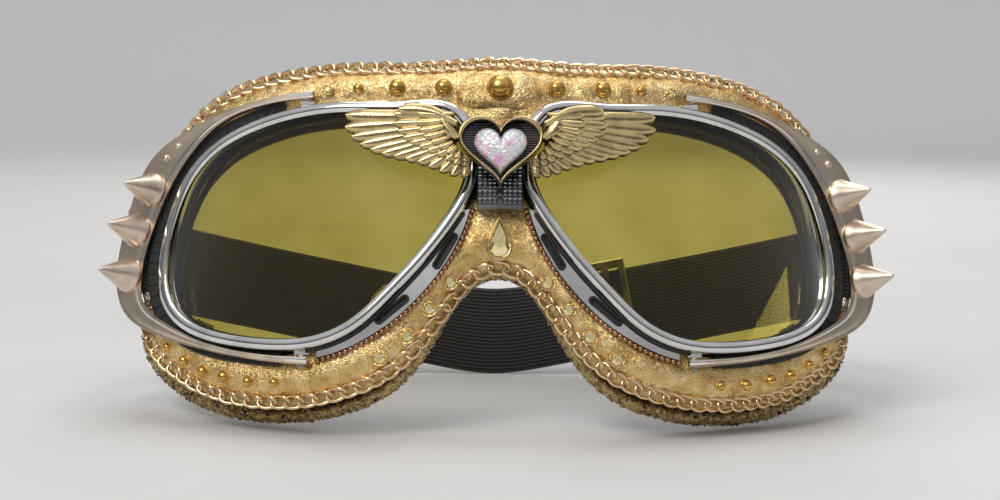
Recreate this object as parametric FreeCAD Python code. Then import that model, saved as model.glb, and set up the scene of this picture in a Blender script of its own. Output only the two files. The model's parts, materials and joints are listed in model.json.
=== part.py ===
"""Dressed-up aviator motorcycle goggles, one STEP file per physical piece.

Everything on the mask is drawn in an upright local frame: x to the wearer's left is -, z is up,
y is the depth behind the front plane, and the origin is midway between the lenses. The front
follows an upright cylinder (the wrap). The mask is then leaned back and stood on the floor, on the
two lower lobes of its face pad and on the back of its strap.
"""
import FreeCAD
import Part
import math
import os
from FreeCAD import Vector

os.makedirs("parts", exist_ok=True)

# ---------------------------------------------------------------- driving dimensions, mm
WRAP_R = 150.0            # radius of the upright cylinder that the front follows
LEAN = 18.0               # degrees that the standing mask leans back
PRESS = 0.4               # soft pads and strap are pressed flat by this much on the floor
GAP = 0.1                 # assembly gap between seated rigid pieces
SOFT_GAP = 0.3            # gap round soft pieces
FIT = 0.05                # radial running clearance of pins

RIM_WIDTH = 2.8           # front rim, seen from the front
RIM_THICK = 2.0
LENS_THICK = 1.6
LENS_LAP = 1.3            # how far the lens runs under the rim
GASKET_THICK = 1.4
GASKET_LIP = 0.8          # how far the gasket shows inside the rim
CUP_DEPTH = 14.0          # eyecup wall, front plane to its back edge
FLANGE_FRONT = 3.0        # nose-side flange of the eyecup
FLANGE_THICK = 1.2
MESH_THICK = 0.4
MESH_LAP = 3.5            # how far the mesh runs past each slot
SKIRT_FRONT = 3.4         # black rubber skirt round the outer side of the eyecup
SKIRT_THICK = 1.2
SKIRT_OUT = 6.0
SKIRT_END = 52.0          # the skirt stops this far from the middle
CLIP_THICK = 1.3
CLIP_REACH = 2.9
CLIP_HALF = 3.0
VENT_R = 0.85

PAD_FRONT = 5.2           # face pad, offsets behind the wrap surface
PAD_SEAM = 14.0
PAD_BACK = 19.0
PAD_INSET = 1.2           # the skin's side lies this far inside the chain line
PAD_ROUND = 4.0
SKIN_THICK = 1.2
LINING_THICK = 2.0
LINING_INSET = 1.5
LINING_LAP = 1.8          # how far outside the lens outline the lining starts
ROUND_STEP = 0.45         # share of the skin's rounding that the stepped core keeps clear of
TRIM_FRONT = 16.5
TRIM_BACK = 21.5
TRIM_OUT = 3.6            # fluffy trim stands this far outside the chain line

CHAIN_PITCH = 3.9
CHAIN_WIRE = 0.7
CHAIN_WIDTH = 3.3
BEAD_R = 0.6
BEAD_PITCH = 1.4

BRACKET_FRONT = 1.0
BRACKET_THICK = 2.0
HINGE_X = 47.5            # upright hinge line of each side bracket
HINGE_OFFSET = 3.6
PIN_R = 0.6
PIN_LONG = 4.8
PIN_HEAD = 0.4
KNUCKLE_R = 1.15
TOP_LAP = 0.3             # how far the upper knuckle reaches below its end of the bracket
LOW_LAP = 0.7             # how far the lower knuckle reaches above its end of the bracket
EAR_HALF = 1.7
EAR_DEEP = 0.9            # half the ear's depth round the pin
EAR_TALL = 3.2
SPIKE_R = 4.5
SPIKE_LONG = 10.0
SPIKE_TIP_R = 0.45
STEM_R = 1.0

BAR_X = 89.5              # strap bar behind each bracket's slot
BAR_OFFSET = 7.5
BAR_R = 1.2
STRAP_WIDE = 25.0
STRAP_THICK = 1.7
STRAP_MID = 2.3           # height of the strap's middle at the bar
TAIL_GAP = 0.25           # air between the strap's two layers
TAIL_OVER = 18.0          # free end of the strap, past the adjuster's middle
STRAP_BACK = 93.0         # depth of the strap's lower back edge, in the standing pose
STRAP_RISE = 0.2          # slope of the strap's straight back runs
STRAP_LEVEL = 6.0         # half the length of the level stretch in the middle of the back
STRAP_STRAIGHT = 58.0     # where the straight back runs end
LUG_THICK = 2.0
LUG_ROOT = 13.0           # the lug leaves the eyecup wall this far inside the strap bar
LUG_HALF = 2.4            # half the lug's depth round the bar
LUG_END = 1.0             # metal outside the bar
POCKET_IN = 14.0          # pockets in the pad for bar and lugs start this far inside the bar
POCKET_AIR = 1.0

BAND_HALF = 5.4           # knurled bridge band
BAND_LOW = 4.4
BAND_HIGH = 20.0
BAND_FRONT = -1.0
BAND_THICK = 2.6
KNURL_PITCH = 1.35
KNURL_DEEP = 0.45
CORE_LOW = 5.0
KNURL_TALL = 1.5          # pitch of the level grooves against the upright ones
SCREW_R = 1.0
SCREW_HEAD = 0.5
BRIDGE_SCREWS = [(-3.3, 15.0), (3.3, 15.0)]

BADGE_FRONT = -7.6        # plane of the winged badge, in front of the wrap surface
BADGE_THICK = 1.6
HEART_WIDE = 20.4
HEART_TALL = 17.0
HEART_MID = 16.7
HEART_LIFT = 2.4          # the heart frame stands this far proud of the wing plate
HEART_HOLE = 0.88         # opening of the heart frame against its outside
BACKING_THICK = 1.0
CAB_SHARE = 0.62          # cabochon outline against the heart frame
CAB_TALL = 3.2
CAB_DOME = [(1.0, 0.4), (0.86, 0.8), (0.5, 1.0)]    # shares of its outline and of its height
POST_R = 1.0
BADGE_POSTS = [12.0, 18.0]

ADJUST_X = 35.0           # adjuster's place along the strap's straight run
ADJUST_LONG = 12.0
ADJUST_WALL = 2.2
ADJUST_FACE = 1.3
ADJUST_END = 2.0
ADJUST_BAR = 2.0
ADJUST_ROUND = 0.6
ADJUST_AIR = 0.45

CRYSTAL_R = 1.7
CRYSTAL_TALL = 1.5
TINY_R = 1.0
TINY_TALL = 1.0
CUP_WALL = 0.2
CUP_THICK = 0.3
TEAR_MID = -1.4
TEAR_WIDE = 6.0
TEAR_TALL = 10.0
TEAR_LIP = 1.12           # outline of the setting against the stone's
TEAR_SEAT = 0.5
TEAR_GIRDLE = 0.6
TEAR_CROWN = 1.4
TEAR_TABLE = 0.6          # share of the outline left at the top
BROW_LIFT = 2.4           # the brow bump stands this far proud of the pad

TALL = 120.0              # half height of the cutting cylinders
REACH = 85.0              # depth of the outline prisms
AHEAD = -30.0             # where the outline prisms start

# ---------------------------------------------------------------- outlines, (x, z) of the left side
LENS = [(-11.4, 27.9), (-24.2, 29.4), (-38.5, 30.0), (-50.7, 29.3), (-61.0, 27.0), (-69.4, 23.4),
        (-76.5, 16.8), (-80.6, 8.0), (-82.8, -2.0), (-82.6, -10.0), (-80.0, -16.3), (-74.6, -20.6),
        (-65.9, -23.7), (-54.8, -25.5), (-44.8, -25.2), (-36.3, -21.9), (-28.5, -15.2),
        (-20.2, -6.3), (-12.8, 3.5), (-8.7, 11.2), (-7.8, 20.0)]
SEAM = [(0.0, 44.7), (-12.0, 43.9), (-25.0, 43.7), (-39.0, 44.3), (-53.0, 43.6), (-65.7, 41.4),
        (-76.5, 35.8), (-84.0, 25.5), (-87.6, 12.0), (-89.2, -3.0), (-90.2, -15.5), (-87.6, -25.2),
        (-80.5, -32.3), (-72.0, -37.2), (-60.5, -40.4), (-47.5, -41.0), (-36.5, -39.0),
        (-27.2, -34.8), (-20.6, -28.7), (-15.2, -20.9), (-10.6, -14.0), (-5.8, -9.3), (0.0, -7.6)]
BEADS = [(-6.5, 5.1), (-8.9, -1.8), (-12.6, -8.6), (-18.4, -16.0), (-25.0, -22.2), (-32.5, -27.0),
         (-38.0, -29.4), (-43.6, -30.9)]
BRACKET_OUTER = [(-46.0, 36.1), (-58.5, 35.2), (-69.9, 32.9), (-79.5, 29.4), (-88.6, 23.9),
                 (-93.5, 15.0), (-96.6, 4.0), (-97.7, -8.0), (-94.4, -16.2), (-87.5, -21.1),
                 (-77.7, -25.2), (-63.2, -29.4), (-46.0, -32.0)]
BRACKET_INNER = [(-46.0, 34.4), (-58.5, 33.6), (-69.8, 30.2), (-78.2, 22.8), (-84.0, 13.8),
                 (-88.0, 4.0), (-90.4, -6.0), (-89.0, -14.2), (-83.1, -19.4), (-75.0, -24.0),
                 (-65.5, -27.4), (-46.0, -30.2)]
BROW = [(-11.0, 36.2), (-9.0, 40.8), (0.0, 41.8), (9.0, 40.8), (11.0, 36.2), (9.0, 31.6),
        (0.0, 30.4), (-9.0, 31.6)]
SPIKES = [(-88.2, 15.4), (-92.2, 5.6), (-94.0, -5.8)]
BRACKET_STUDS = [(-84.6, 23.2, 0.95), (-81.4, 25.9, 0.7)]
MIDDLE_PEARL = (0.0, 35.8, 3.1)
BROW_PEARLS = [(-13.9, 36.2, 2.0), (-25.3, 36.5, 1.95), (-35.0, 36.7, 1.3)]
LOWER_PEARLS = [(-83.0, -25.0, 1.1), (-78.2, -28.8, 1.3), (-73.0, -31.9, 1.5), (-67.4, -33.6, 1.5),
                (-61.0, -35.2, 1.4), (-54.3, -35.8, 1.2)]
NOSE_CRYSTALS = [(-11.8, -12.2), (-16.7, -18.7), (-22.0, -25.3), (-28.4, -30.6)]
BROW_CRYSTALS = [(-42.4, 36.5)]
VENTS = [((-11.0, -1.6), (-15.0, -8.4)), ((-22.6, -16.6), (-28.8, -21.6))]
CLIPS = [LENS[i] for i in (1, 5, 11, 16)]
WING = [(-9.2, 25.0), (-16.8, 27.4), (-26.0, 27.6), (-36.5, 27.0), (-37.0, 24.6), (-33.5, 20.2),
        (-27.5, 17.4), (-21.5, 15.6), (-14.6, 12.8), (-8.4, 11.6), (-7.2, 18.0)]
LENS_MIDDLE = (-45.0, 0.0)
# (tip, root, half width, height above the wing plate)
FEATHERS = [((-37.2, 26.6), (-12.0, 25.6), 1.5, 1.3), ((-36.6, 23.7), (-13.0, 23.2), 1.5, 1.1),
            ((-33.8, 20.9), (-12.5, 20.6), 1.5, 0.9), ((-30.2, 18.4), (-12.0, 18.2), 1.4, 0.7),
            ((-25.6, 16.6), (-11.5, 16.2), 1.3, 0.5), ((-20.4, 14.4), (-10.5, 14.2), 1.2, 0.4),
            ((-24.0, 26.9), (-9.5, 22.6), 1.5, 1.9), ((-21.0, 23.4), (-9.5, 20.4), 1.3, 1.8),
            ((-17.6, 20.2), (-9.5, 17.6), 1.2, 1.7), ((-14.8, 16.8), (-9.4, 14.8), 1.0, 1.6)]

# strap, (x, y, z) of its lower outer edge in the standing pose, from the bar to the straight run
STRAP = [(-98.1, 45.5, 27.0), (-99.2, 56.0, 25.0), (-96.2, 69.0, 22.2), (-87.6, 80.0, 18.6),
         (-75.0, 88.4, 14.6)]

SIN = math.sin(math.radians(LEAN))
COS = math.cos(math.radians(LEAN))
UP = Vector(0, SIN, COS)          # the mask's own upright in the standing pose


# ---------------------------------------------------------------- helpers
def depth(x):
    """Depth of the wrap surface at x."""
    return WRAP_R - math.sqrt(WRAP_R ** 2 - x ** 2)


def on_wrap(x, z, offset):
    return Vector(x, depth(x) + offset, z)


def facing(x):
    """Outward normal of the wrap surface at x."""
    return Vector(x / WRAP_R, -math.sqrt(1 - (x / WRAP_R) ** 2), 0)


def spline(points, closed=False):
    curve = Part.BSplineCurve()
    curve.interpolate(Points=points, PeriodicFlag=closed)
    return curve


def grown(outline, amount):
    """The outline's (x, z) points moved outwards, square to the curve through them."""
    points = [Vector(x, 0, z) for x, z in outline]
    turns = zip(points, points[1:] + points[:1])
    side = 1 if sum(a.x * b.z - b.x * a.z for a, b in turns) > 0 else -1
    curve = spline(points, True)
    moved = []
    for point in points:
        along = curve.tangent(curve.parameter(point))[0]
        moved.append((point.x + side * along.z * amount, point.z - side * along.x * amount))
    return moved


def prism(outline, amount=0.0):
    """The closed outline, grown and drawn out along the depth."""
    points = [Vector(x, AHEAD, z) for x, z in grown(outline, amount)]
    face = Part.Face(Part.Wire([spline(points, True).toShape()]))
    return face.extrude(Vector(0, REACH - AHEAD, 0))


def layer(front, back):
    """The space between two copies of the wrap surface."""
    near = Part.makeCylinder(WRAP_R, 2 * TALL, Vector(0, WRAP_R + front, -TALL))
    far = Part.makeCylinder(WRAP_R, 2 * TALL, Vector(0, WRAP_R + back, -TALL))
    return near.cut(far)


def ring(outline, inner, outer, front, back):
    """A band round an outline, between two growths and two depths."""
    return prism(outline, outer).cut(prism(outline, inner)).common(layer(front, back))


def box(x0, x1, y0, y1, z0, z1):
    return Part.makeBox(x1 - x0, y1 - y0, z1 - z0, Vector(x0, y0, z0))


def mirrored(shape):
    return shape.mirror(Vector(0, 0, 0), Vector(1, 0, 0))


def both(points):
    return points + [(-x, *rest) for x, *rest in points]


def seated(shape, x, z, offset):
    """A shape made with its base on z=0 and pointing along +z, set on the wrap surface."""
    turn = FreeCAD.Rotation(Vector(0, 0, 1), facing(x))
    made = shape.copy()
    made.Placement = FreeCAD.Placement(on_wrap(x, z, offset), turn)
    return made


def single(shape):
    """The largest solid of a boolean result, free of sliver crumbs."""
    return sorted(shape.Solids, key=lambda solid: solid.Volume)[-1]


def dome(radius, tall):
    """A shallow half pearl with a short straight foot."""
    foot = radius * 0.15
    ball = (radius ** 2 + (tall - foot) ** 2) / (2 * (tall - foot))
    cap = Part.makeSphere(ball, Vector(0, 0, tall - ball))
    return cap.common(Part.makeCylinder(radius, tall)).removeSplitter()


def brilliant(radius, tall):
    """A round faceted stone: table, crown and girdle with eight sides."""
    def section(r, z, turn):
        corners = [Vector(r * math.cos(a), r * math.sin(a), z)
                   for a in [math.radians(45 * i + turn) for i in range(9)]]
        return Part.makePolygon(corners)
    return Part.makeLoft([section(radius, 0, 0), section(radius, tall * 0.3, 0),
                          section(radius * 0.55, tall, 0)], True, True)


def heart(share, y):
    """Closed heart-shaped wire of the badge, from the usual sine curve."""
    halves = []
    for side in (1, -1):
        points = []
        for i in range(9):
            t = math.pi * i / 8
            x = 16 * math.sin(t) ** 3
            z = 13 * math.cos(t) - 5 * math.cos(2 * t) - 2 * math.cos(3 * t) - math.cos(4 * t)
            points.append(Vector(side * x / 32 * HEART_WIDE * share, y,
                                 HEART_MID + (z + 2.6) / 29 * HEART_TALL * share))
        halves.append(spline(points).toShape())
    return Part.Wire(Part.__sortEdges__(halves))


def heart_plate(share, front, back):
    return Part.Face(heart(share, front)).extrude(Vector(0, back - front, 0))


# ---------------------------------------------------------------- eyecups, left side
nodes = {}
WALL_IN = LENS_LAP + GAP
lens_front = RIM_THICK + GAP
gasket_front = lens_front + LENS_THICK + GAP
clip_front = gasket_front + GASKET_THICK + GAP
hinge_depth = depth(HINGE_X) + HINGE_OFFSET
bar_depth = depth(BAR_X) + BAR_OFFSET
bar_low = STRAP_MID - STRAP_WIDE / 2 - GAP
bar_high = STRAP_MID + STRAP_WIDE / 2 + GAP
loop_in = BAR_R + SOFT_GAP
loop_out = loop_in + STRAP_THICK
knuckle_top = BRACKET_INNER[0][1] - TOP_LAP       # faces of the knuckles towards their ears
knuckle_low = BRACKET_INNER[-1][1] + LOW_LAP


def rim():
    return single(ring(LENS, 0, RIM_WIDTH, 0, RIM_THICK))


def lens():
    return single(prism(LENS, LENS_LAP).common(layer(lens_front, lens_front + LENS_THICK)))


def gasket():
    return single(ring(LENS, -GASKET_LIP, LENS_LAP, gasket_front, gasket_front + GASKET_THICK))


def clips():
    band = ring(LENS, LENS_LAP - CLIP_REACH, LENS_LAP, clip_front, clip_front + CLIP_THICK)
    made = []
    for x, z in CLIPS:
        spot = Part.makeCylinder(CLIP_HALF, REACH, Vector(x, 0, z), Vector(0, 1, 0))
        made.append(single(band.common(spot)))
    return Part.makeCompound(made)


def flange_prism(inset):
    """The region inside the bead line, closed through the lens opening."""
    line = spline([Vector(x, AHEAD, z) for x, z in BEADS])
    edge = []
    for x, z in BEADS:
        along = line.tangent(line.parameter(Vector(x, AHEAD, z)))[0]
        edge.append(Vector(x + along.z * inset, AHEAD, z - along.x * inset))
    middle = Vector(LENS_MIDDLE[0], AHEAD, LENS_MIDDLE[1])
    wire = Part.Wire([spline(edge).toShape(), Part.makeLine(edge[-1], middle),
                      Part.makeLine(middle, edge[0])])
    return Part.Face(wire).extrude(Vector(0, REACH - AHEAD, 0))


def vent_cut(radius):
    """Round-ended slots through the flange."""
    made = []
    for (x0, z0), (x1, z1) in VENTS:
        run = Vector(x1 - x0, 0, z1 - z0)
        side = Vector(-run.z, 0, run.x).normalize() * radius
        low = Vector(x0, 0, z0)
        corners = [low + side, low + run + side, low + run - side, low - side, low + side]
        made.append(Part.Face(Part.makePolygon(corners)).extrude(Vector(0, REACH, 0)))
        for spot in (low, low + run):
            made.append(Part.makeCylinder(radius, REACH, spot, Vector(0, 1, 0)))
    return made


def lug(low):
    """Arm that carries one end of the strap bar, from the eyecup wall to beyond the bar."""
    inner = -(BAR_X - LUG_ROOT)
    outer = -(BAR_X + BAR_R + LUG_END)
    front = PAD_FRONT - GAP
    corners = [(inner, depth(inner) + front), (inner, depth(inner) + CUP_DEPTH - 1),
               (outer, bar_depth + LUG_HALF), (outer, bar_depth - LUG_HALF),
               (inner - LUG_ROOT * 0.42, depth(inner) + front + LUG_ROOT * 0.38)]
    points = [Vector(x, y, low) for x, y in corners]
    return Part.Face(Part.makePolygon(points + points[:1])).extrude(Vector(0, 0, LUG_THICK))


def ear(low):
    """Block behind the rim that holds one hinge pin."""
    return box(-HINGE_X - EAR_HALF, -HINGE_X + EAR_HALF, hinge_depth - EAR_DEEP,
               hinge_depth + EAR_DEEP, low, low + EAR_TALL)


def eyecup():
    cup = ring(LENS, WALL_IN, RIM_WIDTH, lens_front, CUP_DEPTH)
    flange = flange_prism(BEAD_R + GAP).common(layer(FLANGE_FRONT, FLANGE_FRONT + FLANGE_THICK))
    cup = cup.fuse([flange, lug(bar_low - LUG_THICK), lug(bar_high),
                    ear(knuckle_top - GAP - EAR_TALL), ear(knuckle_low + GAP)])
    cup = cup.cut(prism(LENS, WALL_IN).cut(layer(AHEAD, lens_front)))
    cup = cup.cut(vent_cut(VENT_R))
    pin = Part.makeCylinder(PIN_R, 2 * TALL, Vector(-HINGE_X, hinge_depth, -TALL))
    bar = Part.makeCylinder(BAR_R, 2 * TALL, Vector(-BAR_X, bar_depth, -TALL))
    return single(cup.cut([pin, bar]))


def vent_mesh():
    front = FLANGE_FRONT + FLANGE_THICK + GAP
    band = flange_prism(BEAD_R + 1.0).cut(prism(LENS, RIM_WIDTH + GAP))
    band = band.common(layer(front, front + MESH_THICK))
    made = []
    for a, b in VENTS:
        middle = Vector((a[0] + b[0]) / 2, 0, (a[1] + b[1]) / 2)
        radius = math.dist(a, b) / 2 + MESH_LAP
        made.append(single(band.common(Part.makeCylinder(radius, REACH, middle, Vector(0, 1, 0)))))
    return Part.makeCompound(made)


def skirt():
    """Flat rubber ring that closes the gap between rim and bracket, open towards the nose."""
    band = ring(LENS, RIM_WIDTH + GAP, SKIRT_OUT, SKIRT_FRONT, SKIRT_FRONT + SKIRT_THICK)
    return single(band.common(box(-TALL, -SKIRT_END, 0, REACH, -TALL, TALL)))


def bead_chain():
    curve = spline([Vector(x, 0, z) for x, z in BEADS])
    count = int(curve.length() / BEAD_PITCH)
    made = []
    for i in range(count + 1):
        spot = curve.value(curve.parameterAtDistance(i * BEAD_PITCH, curve.FirstParameter))
        made.append(Part.makeSphere(BEAD_R, on_wrap(spot.x, spot.z, PAD_FRONT - BEAD_R - GAP)))
    return Part.makeCompound(made)


# ---------------------------------------------------------------- side brackets
def bracket():
    outer = spline([Vector(x, AHEAD, z) for x, z in BRACKET_OUTER])
    inner = spline([Vector(x, AHEAD, z) for x, z in BRACKET_INNER])
    ends = [Part.makeLine(outer.value(outer.FirstParameter), inner.value(inner.FirstParameter)),
            Part.makeLine(outer.value(outer.LastParameter), inner.value(inner.LastParameter))]
    wire = Part.Wire(Part.__sortEdges__([outer.toShape(), inner.toShape()] + ends))
    plate = Part.Face(wire).extrude(Vector(0, REACH - AHEAD, 0))
    plate = plate.common(layer(BRACKET_FRONT, BRACKET_FRONT + BRACKET_THICK))
    knuckles = [Part.makeCylinder(KNUCKLE_R, high - low, Vector(-HINGE_X, hinge_depth, low))
                for low, high in ((knuckle_top, BRACKET_OUTER[0][1]), (BRACKET_OUTER[-1][1], knuckle_low))]
    plate = plate.fuse(knuckles)
    pin = Part.makeCylinder(PIN_R + FIT, 2 * TALL, Vector(-HINGE_X, hinge_depth, -TALL))
    holes = [seated(Part.makeCylinder(STEM_R, 8, Vector(0, 0, -4)), x, z, BRACKET_FRONT)
             for x, z in SPIKES]
    return single(plate.cut([pin] + holes))


def hinge_pins():
    made = []
    for side, head in ((1, BRACKET_OUTER[0][1] + GAP), (-1, BRACKET_OUTER[-1][1] - GAP)):
        way = Vector(0, 0, side)
        seat = Vector(-HINGE_X, hinge_depth, head)
        shank = Part.makeCylinder(PIN_R, PIN_LONG, seat, way * -1)
        button = Part.makeCylinder(KNUCKLE_R - GAP, PIN_HEAD, seat, way)
        made.append(shank.fuse(button).removeSplitter())
    return Part.makeCompound(made)


def spikes():
    cone = Part.makeCone(SPIKE_R, SPIKE_TIP_R, SPIKE_LONG - SPIKE_TIP_R, Vector(0, 0, GAP))
    tip = Part.makeSphere(SPIKE_TIP_R, Vector(0, 0, SPIKE_LONG - SPIKE_TIP_R + GAP))
    stem = Part.makeCylinder(STEM_R - FIT, BRACKET_THICK, Vector(0, 0, -BRACKET_THICK + GAP))
    one = cone.fuse([tip, stem]).removeSplitter()
    return Part.makeCompound([seated(one, x, z, BRACKET_FRONT) for x, z in SPIKES])


def bracket_studs():
    return Part.makeCompound([seated(dome(r, r), x, z, BRACKET_FRONT - GAP)
                              for x, z, r in BRACKET_STUDS])


def strap_bar():
    low = bar_low - LUG_THICK
    return Part.makeCylinder(BAR_R, bar_high + LUG_THICK - low, Vector(-BAR_X, bar_depth, low))


for name, make in (("rim", rim), ("lens", lens), ("gasket", gasket), ("lens_clips", clips),
                   ("eyecup", eyecup), ("cup_skirt", skirt), ("vent_mesh", vent_mesh),
                   ("bead_chain", bead_chain),
                   ("outrigger", bracket), ("hinge_pins", hinge_pins), ("spikes", spikes),
                   ("outrigger_studs", bracket_studs), ("strap_bar", strap_bar)):
    left = make()
    nodes[name + "_left"] = left
    nodes[name + "_right"] = mirrored(left)

# ---------------------------------------------------------------- face pad
pad_outline = SEAM + [(-x, z) for x, z in SEAM[-2:0:-1]]


def eye_holes(extra):
    hole = prism(LENS, extra)
    return [hole, mirrored(hole)]


def strap_pockets(extra):
    """Room in the pad's sides for the strap bars, their lugs and the strap's end loops."""
    inner = BAR_X - POCKET_IN
    pocket = box(-TALL, -inner + extra, AHEAD, bar_depth + loop_out + POCKET_AIR + extra,
                 bar_low - LUG_THICK - POCKET_AIR - extra, bar_high + LUG_THICK + POCKET_AIR + extra)
    return [pocket, mirrored(pocket)]


def pad(amount, front, back):
    return prism(pad_outline, amount).common(layer(front, back))


def rounded_front(body, front, radius):
    """Rounds the outer front edge of a pad."""
    edges = []
    for edge in body.Edges:
        middle = edge.valueAt((edge.FirstParameter + edge.LastParameter) / 2)
        if abs(middle.y - depth(middle.x) - front) < 0.01:
            edges.append(edge)
    return body.makeFillet(radius, edges)


def pad_core(gap, back):
    """What lies inside the skin, stepped under its rounded front edge."""
    side = PAD_INSET + SKIN_THICK + gap
    front = PAD_FRONT + SKIN_THICK + gap
    step = PAD_ROUND * ROUND_STEP
    return pad(-side - step, front, back).fuse(pad(-side, front + step, back)).removeSplitter()


def face_skin():
    outside = rounded_front(pad(-PAD_INSET, PAD_FRONT, PAD_BACK), PAD_FRONT, PAD_ROUND)
    skin = outside.cut(pad_core(0, PAD_BACK + PAD_ROUND))
    return single(skin.cut(eye_holes(RIM_WIDTH + SOFT_GAP) + strap_pockets(0)))


def face_foam():
    foam = pad_core(SOFT_GAP, PAD_BACK)
    return single(foam.cut(eye_holes(RIM_WIDTH + SOFT_GAP) + strap_pockets(SOFT_GAP)))


def face_lining():
    front = PAD_BACK + SOFT_GAP
    cloth = prism(pad_outline, -LINING_INSET).common(layer(front, front + LINING_THICK))
    return single(cloth.cut(eye_holes(LINING_LAP)))


def edge_trim():
    return single(ring(pad_outline, -PAD_INSET + SOFT_GAP, TRIM_OUT, TRIM_FRONT, TRIM_BACK))


def chain_link():
    """One oval link lying along x."""
    bend = (CHAIN_WIDTH - CHAIN_WIRE) / 2
    half = (CHAIN_PITCH + CHAIN_WIRE) / 2 - bend
    wire = CHAIN_WIRE / 2
    made = []
    for side in (1, -1):
        ends = Part.makeTorus(bend, wire, Vector(side * half, 0, 0), Vector(0, 0, 1), -180, 180, 180)
        ends.rotate(Vector(side * half, 0, 0), Vector(0, 0, 1), -90 * side)
        made.append(ends)
        made.append(Part.makeCylinder(wire, 2 * half, Vector(-half, side * bend, 0), Vector(1, 0, 0)))
    return made[0].fuse(made[1:]).removeSplitter()


def edge_chain():
    """Linked ovals all round the pad's seam, each tilted across the last."""
    points = [on_wrap(x, z, PAD_SEAM) for x, z in grown(pad_outline, CHAIN_WIRE)]
    curve = spline(points, True)
    count = 2 * round(curve.length() / CHAIN_PITCH / 2)
    link = chain_link()
    made = []
    for i in range(count):
        along = curve.length() * i / count
        at = curve.parameterAtDistance(along, curve.FirstParameter)
        way = curve.tangent(at)[0]
        out = way.cross(Vector(0, 1, 0)).normalize()
        placed = link.copy()
        turn = FreeCAD.Rotation(way, out, way.cross(out), "XYZ")
        roll = FreeCAD.Rotation(Vector(1, 0, 0), 45 if i % 2 else -45)
        placed.Placement = FreeCAD.Placement(curve.value(at), turn.multiply(roll))
        made.append(placed)
    return Part.makeCompound(made)


def brow_pad():
    made = prism(BROW).common(layer(PAD_FRONT - BROW_LIFT, PAD_FRONT - GAP))
    return single(made)


nodes["face_skin"] = face_skin()
nodes["face_foam"] = face_foam()
nodes["face_lining"] = face_lining()
nodes["edge_trim"] = edge_trim()
nodes["edge_chain"] = edge_chain()
nodes["brow_pad"] = brow_pad()

# ---------------------------------------------------------------- studs and stones
def pearl(x, z, radius, lift=GAP):
    return seated(dome(radius, radius * 0.8), x, z, PAD_FRONT - lift)


def stones(places, radius, tall):
    """Round stones on their settings: (stones, settings)."""
    seat = PAD_FRONT - GAP
    cups = [seated(Part.makeCylinder(radius + CUP_WALL, CUP_THICK), x, z, seat) for x, z in places]
    cut = [seated(brilliant(radius, tall), x, z, seat - CUP_THICK - GAP) for x, z in places]
    return cut, cups


nodes["brow_pearls"] = Part.makeCompound([pearl(*MIDDLE_PEARL, BROW_LIFT + GAP)]
                                         + [pearl(*place) for place in both(BROW_PEARLS)])
nodes["pearl_studs_left"] = Part.makeCompound([pearl(*place) for place in LOWER_PEARLS])
nodes["pearl_studs_right"] = mirrored(nodes["pearl_studs_left"])
nose_stones, nose_cups = stones(both(NOSE_CRYSTALS), CRYSTAL_R, CRYSTAL_TALL)
brow_stones, brow_cups = stones(both(BROW_CRYSTALS), TINY_R, TINY_TALL)
nodes["round_crystals"] = Part.makeCompound(nose_stones + brow_stones)
nodes["crystal_settings"] = Part.makeCompound(nose_cups + brow_cups)


def tear(share, y):
    """Closed teardrop wire, point up; 0.82 is the widest value of its curve."""
    points = []
    for i in range(13):
        t = 2 * math.pi * i / 12
        x = math.sin(t) * math.sin(t / 2) ** 1.5 * TEAR_WIDE * 0.5 * share / 0.82
        points.append(Vector(x, y, TEAR_MID + math.cos(t) * TEAR_TALL / 2 * share))
    return Part.Wire([spline(points).toShape()])


tear_back = PAD_FRONT - GAP
stone_back = tear_back - TEAR_SEAT - GAP
setting = Part.Face(tear(TEAR_LIP, tear_back - TEAR_SEAT))
nodes["teardrop_setting"] = setting.extrude(Vector(0, TEAR_SEAT, 0))
nodes["teardrop_crystal"] = Part.makeLoft(
    [tear(1.0, stone_back), tear(1.0, stone_back - TEAR_GIRDLE),
     tear(TEAR_TABLE, stone_back - TEAR_GIRDLE - TEAR_CROWN)], True, True)


# ---------------------------------------------------------------- bridge and badge
def bridge_band():
    band = box(-BAND_HALF, BAND_HALF, AHEAD, REACH, BAND_LOW, BAND_HIGH)
    band = band.common(layer(BAND_FRONT, BAND_FRONT + BAND_THICK))
    band = band.cut([prism(LENS, RIM_WIDTH + GAP), mirrored(prism(LENS, RIM_WIDTH + GAP))])
    nick = KNURL_DEEP * math.sqrt(2)
    cuts = []
    across = int(2 * BAND_HALF / KNURL_PITCH)
    for i in range(across + 1):
        x = (i - across / 2) * KNURL_PITCH
        groove = box(-nick / 2, nick / 2, -nick / 2, nick / 2, BAND_LOW - 1, BAND_HIGH + 1)
        groove.rotate(Vector(0, 0, 0), Vector(0, 0, 1), 45)
        groove.translate(Vector(x, depth(x) + BAND_FRONT, 0))
        cuts.append(groove)
    step = KNURL_PITCH * KNURL_TALL
    for i in range(int((BAND_HIGH - BAND_LOW) / step) + 1):
        groove = box(-BAND_HALF - 1, BAND_HALF + 1, -nick / 2, nick / 2, -nick / 2, nick / 2)
        groove.rotate(Vector(0, 0, 0), Vector(1, 0, 0), 45)
        groove.translate(Vector(0, BAND_FRONT, BAND_LOW + i * step))
        cuts.append(groove)
    return single(band.cut(cuts + screw_rods(SCREW_R)))


def screw_rods(radius):
    head = BAND_FRONT - SCREW_HEAD
    return [Part.makeCylinder(radius, core_back - head, Vector(x, head, z), Vector(0, 1, 0))
            for x, z in BRIDGE_SCREWS]


core_front = BAND_FRONT + BAND_THICK + GAP
core_back = PAD_FRONT - SOFT_GAP


def bridge_core():
    core = box(-BAND_HALF, BAND_HALF, core_front + depth(BAND_HALF), core_back, CORE_LOW, BAND_HIGH)
    core = core.cut([prism(LENS, RIM_WIDTH + GAP), mirrored(prism(LENS, RIM_WIDTH + GAP))])
    return single(core.cut(screw_rods(SCREW_R)))


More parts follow.
